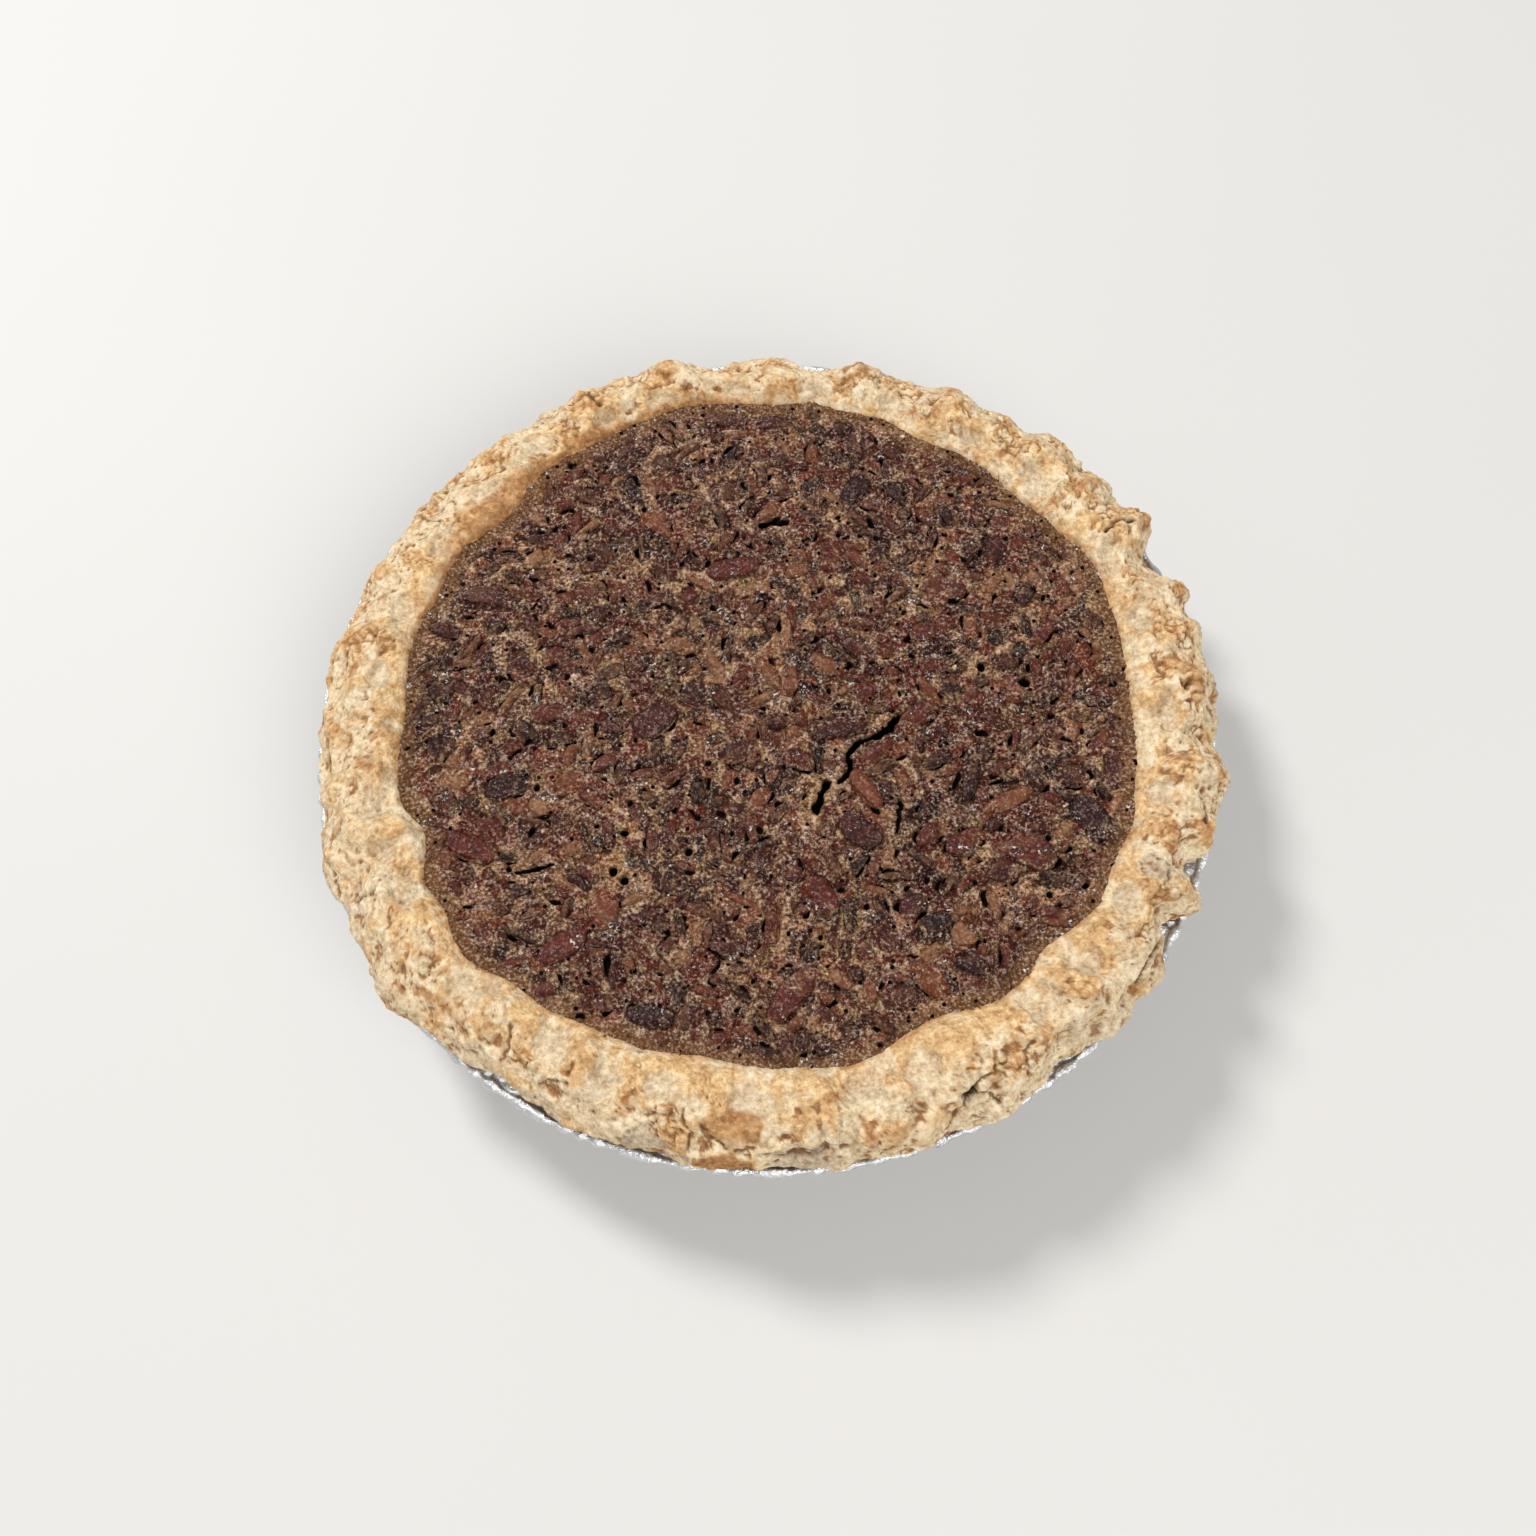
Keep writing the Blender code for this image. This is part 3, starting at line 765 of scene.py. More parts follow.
def cutCracks(at):
    # cracks with slightly raised edges, darkened with painted shade
    at.dark = np.zeros_like(at.reach)
    swayRound = 0.7 * softNoise(at.skin, 2.4, 50) + 0.4 * softNoise(at.skin, 1.1, 52)
    swayOut = 0.7 * softNoise(at.skin, 2.4, 51) + 0.4 * softNoise(at.skin, 1.1, 53)
    swayedAngle = at.angle + np.degrees(swayRound / at.reach)
    for halfWidth, depth, darkness, corners in cracks:
        gap = crackDistance(swayedAngle, at.reach + swayOut, corners)
        at.raised -= depth * hill(gap, 2.4 * halfWidth)
        at.raised += 0.2 * hill(gap - 3 * halfWidth, 2.5 * halfWidth)
        at.dark = np.maximum(at.dark, darkness * hill(gap, 1.9 * halfWidth))


def cutPits(at):
    nearest, _, number = cobbles(at.skin, crust["pitSize"], 60)
    at.pit = hill(nearest, 0.2) * (number > 0.6) * at.rough
    # painted shade: some of the pits are darkened
    at.darkPit = at.pit * (number > 0.8)
    at.raised -= crust["pit"] * at.pit


def drawBack(points, at):
    # pulls the outer edge in where the foil shows
    for degrees, halfWidth, back in drawnBack:
        away = np.abs((at.angle - degrees + 180) % 360 - 180)
        inwards = back * hill(away, halfWidth) * smooth(107, 115, at.reach)
        points[..., :2] *= (1 - inwards / at.reach)[..., None]
    return points


def keptInBox(points):
    # nothing stands out of the CAD box, and the highest lumps stay round
    low, high = cadBox
    clear = crust["clearance"]
    ceiling = high.z / mm - clear
    points[..., 2] = np.minimum(points[..., 2], ceiling - 0.3 * np.exp(-np.abs(points[..., 2] - ceiling)))
    for axis in (0, 1):
        points[..., axis] = np.clip(points[..., axis], low[axis] / mm + clear, high[axis] / mm - clear)
    return points


def crustTones(at):
    # creases, pits and wrinkles get painted shade, the seams between blobs are brown, partly toasting and
    # partly painted shade, the inner wall is darker at the back left and a little at the front right as
    # painted shade, and the outer slope is paler at the front right as painted light
    # painted shade: darker in the creases of the relief
    creaseShade = smooth(0.08, 0.4, blurred(at.raised, 2.0, 2.0) - at.raised)
    standing = at.raised - blurred(at.raised, 9, 8)
    # painted shade: the inner wall at the back left, and a little at the front right, is made more golden
    # and toasted
    shadedBackWall = 1.3 * hill((at.angle - 125) / 50, 1) ** 0.7
    shadedWall = at.onWall * (shadedBackWall + 0.25 * hill((at.angle - 300) / 30, 1))
    # painted light: the outer slope at the front right is made paler
    paintedLitSlope = smooth(106, 113, at.reach) * hill((at.angle - 300) / 120, 1)

    golden = 0.3 + 0.6 * layered(at.skin, 7, 70, 3) + 0.2 * at.ridge + 0.4 * shadedWall
    golden += 0.6 * at.even * at.toasted
    golden += 0.4 * at.brow + 0.4 * at.onWall * at.pleats
    golden += at.clustered * (0.55 * smooth(0.6, 0.1, at.seam) - 0.1) + 0.2 * standing * at.rough
    # painted light on the outer slope at the front right
    golden -= 0.3 * paintedLitSlope
    golden += 0.15 * at.onWall * at.front

    patches = smooth(0.1, 0.6, layered(at.skin, 5, 74, 3))
    toastAndShade = at.toasted * (0.45 + 0.5 * softNoise(at.skin, 2.5, 73)) + 0.5 * at.rough * patches
    # the brown seams between blobs are partly toasting and partly painted shade
    seamToastAndShade = 0.6 * smooth(0.24, 0.03, at.seam) + 0.3 * (at.blobNumber > 0.88)
    # painted shade: the lower places of the crest are browner
    toastAndShade += at.clustered * seamToastAndShade + 0.2 * at.rough * smooth(0.1, 0.8, -standing)
    # painted shade in the creases and pits; the wrinkles are darkened too
    toastAndShade += 0.6 * at.rough * creaseShade + 0.35 * at.pit + 0.45 * at.wrinkle
    atLip = 0.5 * smooth(at.lipRow + 1.2, at.lipRow + 0.2, at.reach)
    atLip *= 1 - 0.7 * hill((at.angle - 80) / 60, 1)
    toastAndShade += atLip + 0.6 * shadedWall + 0.55 * at.even * at.toasted
    toastAndShade += at.onWall * at.pleats * (0.25 + 0.3 * at.leftSide)
    # painted shade: the wall darker towards the back and lighter towards the front; painted light: the outer
    # slope less brown at the front right
    toastAndShade += 0.12 * at.onWall * (1 - 2 * at.front) - 0.15 * paintedLitSlope

    # painted shade: near black in cracks, dark pits and deep creases
    dark = at.dark + 0.5 * at.darkPit + 0.25 * at.rough * smooth(0.5, 1.0, creaseShade)
    grey = np.maximum(0.6 * at.hollow * (1 - 0.6 * smooth(3, 7, at.pastWall)), at.slabGrey)
    floury = smooth(-0.1, 0.4, layered(at.skin, 8, 76, 2))
    grey = np.maximum(grey, 0.45 * at.rough * (1 - at.clustered) * (1 - at.even) * floury)
    return np.stack([golden, toastAndShade, dark, grey], axis=-1)


def crustPiece(material):
    skin = cadRim()
    reach = np.hypot(skin[..., 0], skin[..., 1])
    angle = np.degrees(np.arctan2(skin[..., 1], skin[..., 0])) % 360
    at = SimpleNamespace(  # what is known at each place of the rim: every step below adds to it
        skin=skin,
        reach=reach,
        angle=angle,
        height=skin[..., 2],
        front=0.5 - 0.5 * np.sin(np.radians(angle)),  # 0 at the back, 1 at the front
        leftSide=hill((angle - 200) / 45, 1),
        lipRow=lipAt(skin[..., 0], skin[..., 1]),
        warp=skin + 1.3 * wobble(skin, 6, 20),
        raised=np.zeros_like(reach),
    )
    pressHollows(at)
    raiseKnobs(at)
    findWall(at)
    laySlabs(at)
    raiseCrest(at)
    raiseBlobs(at)
    foldWall(at)
    wrinkleSkin(at)
    cutCracks(at)
    cutPits(at)
    # All this grows weaker towards the underside.
    top = smooth(-20, 10, at.height - 31 + 20 * (reach < 100))
    points = keptInBox(drawBack(skin + gridNormals(skin) * (at.raised * top)[..., None], at))
    masks = crustTones(at).reshape(-1, 4)
    faces = ringFaces(crust["columns"], crust["rows"])
    piece = pieceOf("pastryRim", points.reshape(-1, 3), faces, material, masks)
    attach(piece, "root")
    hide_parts("crust")
    return points


bowl = {
    "top": 34,  # height and radius that the CAD crust is cut down to, inside the fine rim
    "reach": 108,
    "tone": (0.4, 0.1, 0, 0),  # the masks of the pastry's finish
}


def crustBowl(material):
    # the rest of the pastry, between the tin and the filling
    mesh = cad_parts["crust"].data.copy()
    made = bpy.data.objects.new("pastryBowl", mesh)
    pie.objects.link(made)
    points = cadPoints("crust")
    radius = np.hypot(points[:, 0], points[:, 1])
    points[:, 2] = np.minimum(points[:, 2], bowl["top"])
    points[:, :2] *= (np.minimum(radius, bowl["reach"]) / np.maximum(radius, 0.001))[:, None]
    mesh.vertices.foreach_set("co", (points * mm).ravel())
    paintMasks(mesh, np.tile(bowl["tone"], (len(points), 1)))
    mesh.materials.clear()
    mesh.materials.append(material)
    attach(made, "root")
    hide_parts("crust")


# The filling is the baked top, one fine sheet on a skirt.
filling = {
    "side": 306,
    "overlap": 1.6,  # how far the sheet's edge runs into the pastry
    "skirt": 5,
    "drop": 0.15,  # how far the custard lies lower beside a piece of pecan
    "mound": 0.3,  # how far it swells over a sunken one
    "swellDegree": 8,
    "ripple": 0.25,
    "rippleSize": 7,
    "edgeRise": 0.35,  # how far it climbs at the pastry
    "band": (5.5, 2.2),  # how far from the pastry the browner band begins, and where it is full
}

# Open cracks: half width, depth, then the corners.
splits = [
    (0.62, 4.0, [(33, -4), (31, -7), (27, -10), (23, -11), (20, -14.5), (21, -19), (18, -22)]),
    (0.62, 3.5, [(15, -22.5), (13.5, -25), (12, -30)]),
    (0.35, 1.6, [(33, -27), (32.5, -33), (31.5, -36)]),
    (0.4, 1.6, [(-62, -46.5), (-58, -46), (-53, -44.5)]),
    (0.9, 3.0, [(-2, 55), (5, 55.5)]),
    (0.45, 2.0, [(44, -40), (48.5, -38.5), (53, -38.5)]),
]

# Round holes: place and radius.
holes = [
    (66.5, 6.5, 1.7), (55.5, 11, 1.2), (66, 12.5, 0.9), (76, 21.5, 0.8), (37, 19, 0.8), (36, 27, 0.8),
    (52.5, 33.5, 0.9), (-70.5, -8, 1.0), (-58, -23.5, 1.1), (-34, 60, 1.0), (-23.5, 60, 1.1),
    (-13, 56, 0.9), (-55, 36, 0.9), (-42.5, -34, 1.1), (-35.5, -36, 1.3), (-19.5, -41, 1.2),
    (-33.5, -10.5, 0.9), (-63.5, -45.5, 1.0), (37, -37, 1.5), (38.5, -34.5, 0.8), (45, -40, 0.9),
    (48.5, -35.5, 1.0), (31.5, -55, 1.5), (34, -50.5, 1.2), (33, -82.5, 0.9), (68.5, -52, 1.1),
    (13, -65, 1.0), (-14, -65, 0.9), (-32, -80.5, 1.1), (33, -28, 1.1), (10.5, 80, 0.8), (23.5, 80, 0.7),
    (19, 57, 1.0), (19, 51.5, 0.9), (32, -2, 0.8), (-38, -46, 1.3), (-35, -48.5, 1.5), (-29, 36, 0.7),
    (-9, 27, 0.8), (-15, -17, 0.8), (-24, -19, 0.7), (4, -18, 0.7), (41.5, -2, 0.7), (44, 2, 0.6),
    (57, 14, 0.6), (-47, -11, 0.8), (-52, 8, 0.8), (-60, 16, 0.7), (-30, 20, 0.8), (60, 30, 0.7),
    (28, 33, 0.7), (-4, -34, 0.9), (-9, -36, 0.7), (20, -47, 0.7), (56, -20, 0.6), (72, -12, 0.7),
    (-25, -30, 0.7), (-45, -57, 0.7), (-20, -58, 0.8), (5, -62, 0.7),
]


def segmentDistance(x, y, corners):
    nearest = np.full(x.shape, 99.0)
    for (startX, startY), (endX, endY) in zip(corners, corners[1:]):
        spanX, spanY = endX - startX, endY - startY
        share = np.clip(((x - startX) * spanX + (y - startY) * spanY) / (spanX**2 + spanY**2), 0, 1)
        nearest = np.minimum(nearest, np.hypot(x - startX - share * spanX, y - startY - share * spanY))
    return nearest


def laidFlat(x, y):
    return np.stack([x, y, np.zeros_like(x)], axis=-1)


def swellTerms(x, y):
    # the powers of x and y up to the degree, for a smooth surface through many heights
    degree = filling["swellDegree"]
    powers = [(i, j) for i in range(degree + 1) for j in range(degree + 1 - i)]
    return np.stack([(x / 95) ** i * (y / 95) ** j for i, j in powers], axis=-1)


def cadSwell():
    # the slow swells of the CAD filling's top, as the weights of a polynomial
    rays = cadRays("filling")
    spots, heights = [], []
    for x, y in itertools.product(np.arange(-92, 93, 4.0), repeat=2):
        if math.hypot(x, y) > 90:
            continue
        hit = rays.ray_cast(Vector((x, y, 60)), Vector((0, 0, -1)))
        # Steep places and holes don't count.
        if hit[0] and hit[1].z > 0.98 and hit[0].z > 39.4:
            spots.append((x, y))
            heights.append(hit[0].z)
    spots = np.array(spots)
    return np.linalg.lstsq(swellTerms(spots[:, 0], spots[:, 1]), np.array(heights), rcond=None)[0]


swell = cadSwell()


def topAt(x, y):
    # the custard's height, before its grain and holes
    inside = np.minimum(np.hypot(x, y), 92) / np.maximum(np.hypot(x, y), 0.001)
    level = swellTerms(x * inside, y * inside) @ swell
    edge = lipAt(x, y) - np.hypot(x, y)
    flat = laidFlat(x, y)
    level = level - filling["ripple"] + filling["ripple"] * layered(flat, filling["rippleSize"], 80, 2)
    return level + filling["edgeRise"] * np.exp(-np.maximum(edge, 0) / 0.9)


def heightAt(x, y):
    return float(topAt(np.array([x]), np.array([y]))[0])


# The pecans come from one plan of where each piece lies: fine meshes for the large ones, and a node tree
# for the small ones.
pecans = {
    "shows": 1.2,  # how far a piece stands out of the custard
    "thickness": 3.2,
    "stepsAlong": 24,
    "stepsRound": 20,
    "smallCount": 430,
    "sunkenCount": 620,
    "smallLength": (4.2, 10.5),
    "smallWidth": (1.8, 3.7),
    "spacing": 0.8,  # least distance between two middle lines, as a share of the mean width
    "unevenness": 0.3,
    "roughness": 0.14,
    "shapes": 8,  # how many different small pieces there are
    "tries": 30000,
}

# Tones of the skin, from nearly black to the pale flesh of a broken side.
blackish, purple, brownRed, red, orange, tan = 0.02, 0.16, 0.34, 0.5, 0.76, 0.92
sunkenKind, smallKind, mediumKind, wholeKind = range(4)

# The medium pieces: place, length, width, turn in degrees and tone.
mediumPecans = [
    (6.5, 24, 12, 2.5, -75, red), (24, 23.5, 10, 3, -10, red), (30, 47, 9, 5, 85, purple),
    (25.5, 37, 6, 5, 20, red), (17, 71, 8, 3.5, -45, red), (12.5, 78, 7, 3, 90, orange),
    (35, 64, 7, 4, -50, purple), (48, 57, 7, 3, -50, purple), (55, 46, 9, 3.5, 95, purple),
    (68, 49, 6, 4, -60, red), (73, 44, 8, 3.5, -60, brownRed), (63, 56, 5, 3, 10, red),
    (78, 36, 8, 3.5, -70, red), (68, 33, 8, 4, 70, purple), (71, 37, 7, 4, -40, tan),
    (72, 21, 9, 3, 60, red), (78, 17, 9, 4, 85, red), (86, 25, 8, 2.5, -55, brownRed),
    (42, 10.5, 8, 4, 15, red), (62, 12, 7, 3, 5, brownRed), (31, 15.5, 5, 4, 0, red),
    (46.5, 17, 5, 4, 30, purple), (15, 11, 9, 4, -30, orange), (53, 2, 6, 6, 0, red),
    (47, 4, 6, 5, 90, purple), (60, 25, 8, 3, 0, red), (8, 39.5, 7, 2.5, 20, orange),
    (60, 20, 5, 4.5, 0, blackish), (25, 3, 7, 5, 60, red), (-19, 42, 5, 4, 0, brownRed),
    (-21, 31.5, 5, 3.5, 0, red), (-13, 30.5, 6, 4, -40, brownRed), (-48.5, 34, 7, 4, -50, red),
    (-72, 23.5, 6, 4.5, 80, purple), (-85, 22, 9, 3, -15, brownRed), (-11, 66, 9, 6, -10, brownRed),
    (-37, 66, 10, 3, -68, blackish), (-28, 74, 8, 7, 0, purple), (-10, 77, 9, 4, 60, purple),
    (-12, 90, 12, 5, 0, brownRed), (-43.5, 26, 6, 5, 0, brownRed), (-43, 2.5, 7, 6, 90, purple),
    (-73, 3, 7, 6, 20, brownRed), (-62, 44, 8, 4, 30, tan), (-29, 39.5, 7, 3, -55, brownRed),
    (-53, 27, 7, 3, -15, blackish), (-23, 17, 8, 3, -20, tan), (-3, 18, 8, 2.5, 35, blackish),
    (5, 20, 10, 3, 95, tan), (-83, -12.5, 7, 6, 0, purple), (-68, -19, 8, 3.5, 15, red),
    (-81, -28, 8, 5, -60, brownRed), (-70, -34.5, 10, 4, -25, red), (-56, -3, 9, 5, 10, red),
    (-51, -22, 10, 5, -10, orange), (-56, -28.5, 6, 5, 45, tan), (-41, -16.5, 9, 3, 30, red),
    (-62, -8, 8, 4, -40, purple), (-52, -33, 7, 4, 90, brownRed), (-44, -26, 8, 4, -45, red),
    (-24, -48, 9, 7, -45, purple), (-40, -56, 10, 6, 80, orange), (-65, -55, 6, 4, 0, brownRed),
    (-61, -51, 7, 3, -15, purple), (-36, -69, 13, 3.5, 90, brownRed), (-16, -70, 10, 4.5, 40, red),
    (-10, -65, 9, 5, -35, brownRed), (-39, -79, 10, 4, -5, brownRed), (-53, -76, 5, 4, 0, red),
    (-18, -82, 8, 5, 40, brownRed), (-11, -88, 6, 4, 0, red), (-5, -86, 6, 3, -40, orange),
    (-2, -43, 8, 4, 45, brownRed), (-23, -20, 10, 3, 40, red), (27, -15, 13, 4, 30, red),
    (44, -9, 7, 4, 0, brownRed), (29, -24, 9, 4, -50, purple), (43, -16, 9, 3, 25, purple),
    (50, -22, 13, 4, 70, purple), (60, -27, 13, 4, 25, orange), (68, -20, 10, 5, 75, purple),
    (76.5, -20, 9, 6, -10, brownRed), (71, -27, 6, 4, 0, red), (40, -37, 8, 4, 55, red),
    (67, -34, 8, 4, 5, brownRed), (57, -46, 9, 6, 0, brownRed), (70, -48, 7, 4, 0, blackish),
    (73, -7, 6, 6, 0, brownRed), (87, -19, 10, 4, 90, brownRed), (6.5, -46, 6, 5, 0, red),
    (40, -61, 10, 6, 15, blackish), (47, -63, 6, 5, 0, tan), (28, -63, 9, 5, -25, brownRed),
    (49, -70, 9, 4, -20, purple), (49, -74, 7, 4, -15, red), (31, -77.5, 9, 6, 0, brownRed),
    (10, -67, 5, 7, 0, blackish), (1, -59, 12, 3, 88, red), (14, -82, 6, 3, 0, red),
    (8, -88, 5, 6, 0, purple), (48, -56, 6, 2, -3, tan), (60, -62, 4, 1.5, 0, orange),
    (64, -55, 4, 4, 0, brownRed), (24, -76, 6, 2.5, 90, orange), (0, 59, 9, 5, 35, orange),
    (-6, 8, 8, 4, 65, red), (-19, 3, 6, 5, 20, purple), (-8, -14, 9, 4, 30, brownRed),
    (8, -16, 8, 4, -20, red), (-2, -27, 7, 4, 60, orange), (-14, -33, 8, 4, -10, brownRed),
    (2, -5, 7, 4, 10, brownRed), (33, 8, 8, 3.5, -30, red), (5, 5, 6, 4, 80, orange),
    (-34, 11, 8, 4, 55, brownRed), (-55, 14, 8, 4, 20, red), (-64, 12, 9, 4.5, -35, brownRed),
    (-84, 4, 7, 5, 60, purple), (-45, 46, 9, 5, -25, brownRed), (-52, 55, 8, 4, 40, red),
    (-41, 78, 9, 4, 25, brownRed), (2, 88, 10, 4, -10, brownRed), (20, 86, 9, 4, 15, purple),
    (35, 79, 8, 4, -35, brownRed),
]


def placedPecans(dice):
    # the whole pieces of the CAD and the medium ones of the list
    placed = []
    for node in sorted(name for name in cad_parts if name.startswith("pecan_")):
        points = cadPoints(node)
        middle = points.mean(axis=0)
        axes = np.linalg.svd((points - middle)[:, :2], full_matrices=False)[2]
        length, width = np.ptp((points - middle)[:, :2] @ axes.T, axis=0)
        tone = (brownRed, red, purple, red, brownRed, orange, red)[len(placed) % 7]
        turn = math.atan2(axes[0, 1], axes[0, 0])
        dusty = 0.3 + 0.3 * dice.random()
        placed.append((middle[0], middle[1], length, width, turn, tone, dusty, wholeKind))
    for x, y, length, width, degrees, tone in mediumPecans:
        turn = math.radians(degrees)
        placed.append((x, y, length, width * 1.1, turn, tone, 0.6 * dice.random(), mediumKind))
    return placed


def hasRoom(x, y, length, width, turn, spacing, plan, opened):
    # whether a piece keeps off the open cracks and holes and off the pieces already there
    spots = axisSpots(x, y, length, width, turn)
    apart = np.linalg.norm(opened[:, None, :2] - spots, axis=-1).min(axis=1)
    if (apart < opened[:, 2] + 0.25 * width).any():
        return False
    rows = np.array(plan)
    close = rows[np.hypot(rows[:, 0] - x, rows[:, 1] - y) < (rows[:, 2] + length) / 2]
    for row in close:
        gap = np.linalg.norm(axisSpots(*row[:5])[:, None] - spots, axis=-1).min()
        if gap < spacing * (row[3] + width) / 2:
            return False
    return True


def pecanPlan():
    # every piece of pecan: place, length, width, turn, tone, how dusty, and its kind
    dice = np.random.default_rng(7)
    plan = placedPecans(dice)
    opened = openSpots()
    tones = [blackish] + 3 * [purple] + 3 * [brownRed] + 5 * [red] + [orange, tan]
    batches = (
        (smallKind, pecans["smallCount"], pecans["spacing"]),
        (sunkenKind, pecans["sunkenCount"], 0.75 * pecans["spacing"]),
    )
    for kind, count, spacing in batches:
        wanted = len(plan) + count
        for attempt in range(pecans["tries"]):
            if len(plan) >= wanted:
                break
            reach, around = 93 * math.sqrt(dice.random()), 2 * math.pi * dice.random()
            x, y = reach * math.cos(around), reach * math.sin(around)
            shrink = 1 - 0.3 * min(attempt / 9000, 1)  # later ones are smaller, to fit between
            length = dice.uniform(*pecans["smallLength"]) * shrink
            width = min(dice.uniform(*pecans["smallWidth"]) * shrink, 0.8 * length)
            turn = math.pi * dice.random()
            if reach > float(lipAt(x, y)) - 1.6 - 2.2 * dice.random() - width / 2:
                continue
            if not hasRoom(x, y, length, width, turn, spacing, plan, opened):
                continue
            tone = tones[dice.integers(len(tones))] + dice.normal(0, 0.04)
            plan.append((x, y, length, width, turn, tone, dice.random(), kind))
    plan = np.array(plan)
    drifts = softNoise(laidFlat(plan[:, 0], plan[:, 1]), 17, 120)
    plan[:, 6] = np.clip(0.5 * plan[:, 6] + 0.25 + 0.6 * drifts, 0, 1)
    return plan


def openSpots():
    # places over the larger holes and along the open cracks, each with the room that it needs
    spots = [(x, y, radius + 1.0) for x, y, radius in holes if radius > 0.9]
    for halfWidth, _, corners in splits:
        for (startX, startY), (endX, endY) in zip(corners, corners[1:]):
            for share in (0, 0.5, 1):
                x, y = startX + share * (endX - startX), startY + share * (endY - startY)
                spots.append((x, y, halfWidth + 1.3))
    return np.array(spots)


def axisSpots(x, y, length, width, turn):
    # five places along a piece's middle line
    steps = np.linspace(-0.5, 0.5, 5)[:, None] * max(length - width, 0)
    return np.array([x, y]) + steps * np.array([math.cos(turn), math.sin(turn)])


def pecanShape(stepsAlong, stepsRound, seed, cuts):
    # a chopped half pecan, one unit long, wide and thick: a ribbed back, and faces where the knife broke it
    dice = np.random.default_rng(seed)
    u = -np.cos(np.linspace(0, math.pi, stepsAlong))[1:-1, None]
    around = 2 * np.pi * np.arange(stepsRound)[None, :] / stepsRound
    full = (1 - np.abs(u) ** dice.uniform(1.9, 3.4)) ** (1 / dice.uniform(1.6, 2.4))
    taper = 1 - dice.uniform(0.0, 0.35) * (u * 0.5 + 0.5)
    side, top = np.cos(around), np.sin(around)
    groove = np.exp(-((np.degrees(around) - dice.uniform(70, 110)) / 20) ** 2) * dice.uniform(0.0, 0.35)
    ribs = 1 + dice.uniform(0.1, 0.24) * np.cos(6 * around + dice.uniform(0, 6)) * (top > 0) - groove
    y = 0.5 * full * taper * np.sign(side) * np.abs(side) ** 0.7 * ribs
    y = y + dice.uniform(-0.14, 0.14) * (1 - u**2)
    z = 0.5 * full**0.6 * np.sign(top) * np.abs(top) ** 0.6 * ribs
    points = np.stack([0.5 * u + 0 * around, y, z], axis=-1).reshape(-1, 3)
    flesh = np.zeros(len(points))
    for cut in range(cuts):
        turn = dice.uniform(-0.9, 0.9) + math.pi * (cut % 2) if cut < 2 else dice.uniform(0, 2 * math.pi)
        facing = np.array([math.cos(turn), math.sin(turn), dice.uniform(0.1, 0.9)])
        facing /= np.linalg.norm(facing)
        past = np.maximum(points @ facing - dice.uniform(0.14, 0.34), 0)
        points -= 0.95 * past[:, None] * facing
        flesh = np.maximum(flesh, smooth(0.0, 0.05, past))
    index = np.arange((stepsAlong - 2) * stepsRound).reshape(stepsAlong - 2, stepsRound)
    besides = np.roll(index, -1, axis=1)
    quads = np.stack([index[:-1], index[1:], besides[1:], besides[:-1]], axis=-1).reshape(-1, 4)
    faces = quads[:, ::-1].tolist()
    start = len(points)
    ends = np.array([points[:stepsRound].mean(axis=0), points[-stepsRound:].mean(axis=0)])
    for step in range(stepsRound):
        following = (step + 1) % stepsRound
        faces.append([start, index[0, step], index[0, following]][::-1])
        faces.append([start + 1, index[-1, following], index[-1, step]][::-1])
    flesh = np.append(flesh, [flesh[:stepsRound].mean(), flesh[-stepsRound:].mean()])
    return np.concatenate([points, ends]), faces, flesh


def skinMasks(points, tone, dusty, flesh, seed):
    # tone, how much custard film covers the skin, and where pale flesh shows
    above = points[:, 2] - topAt(points[:, 0], points[:, 1])
    film = 1 - smooth(-0.3, 0.3, above + 0.3 * softNoise(points, 2.0, seed))
    film = np.maximum(film, 1.2 * (dusty - 0.3) * smooth(-0.3, 0.4, softNoise(points, 4, seed + 1)))
    flesh = flesh * smooth(-0.4, 0.2, softNoise(points, 3, seed + 2))
    return np.stack([tone + 0.08 * softNoise(points, 3, seed + 3), film, flesh], axis=-1)


def largePecansPiece(plan, material):
    dice = np.random.default_rng(3)
    points, faces, masks, count = [], [], [], 0
    for number, (x, y, length, width, turn, tone, dusty, kind) in enumerate(plan):
        if kind < mediumKind:
            continue
        cuts = dice.integers(0, 3) if kind == wholeKind else dice.integers(2, 6)
        shape, sides, flesh = pecanShape(pecans["stepsAlong"], pecans["stepsRound"], 100 + number, cuts)
        thick = pecans["thickness"] * (0.75 + 0.25 * min(width / 5, 1.3))
        shape = shape * (length * 1.06, width * 1.08, thick)
        for size, depth in ((2.4, pecans["unevenness"]), (1.2, pecans["roughness"])):
            shape += depth * wobble(shape + number * 9, size, 5)
        shape[:, 2] += dice.normal(0, 0.06) * shape[:, 0] + dice.normal(0, 0.14) * shape[:, 1]
        lying = shape.copy()
        lying[:, 0] = x + shape[:, 0] * math.cos(turn) - shape[:, 1] * math.sin(turn)
        lying[:, 1] = y + shape[:, 0] * math.sin(turn) + shape[:, 1] * math.cos(turn)
        show = pecans["shows"] * dice.uniform(0.75, 1.3)
        lying[:, 2] += heightAt(x, y) + show - thick / 2
        faces += [[count + corner for corner in side] for side in sides]
        count += len(lying)
        points.append(lying)
        masks.append(skinMasks(lying, tone, dusty, flesh * (1 if tone > red else 0.5), 300))
    piece = pieceOf("largePecans", np.concatenate(points), faces, material, np.concatenate(masks))
    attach(piece, "root")
    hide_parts(*sorted(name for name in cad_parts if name.startswith("pecan_")))


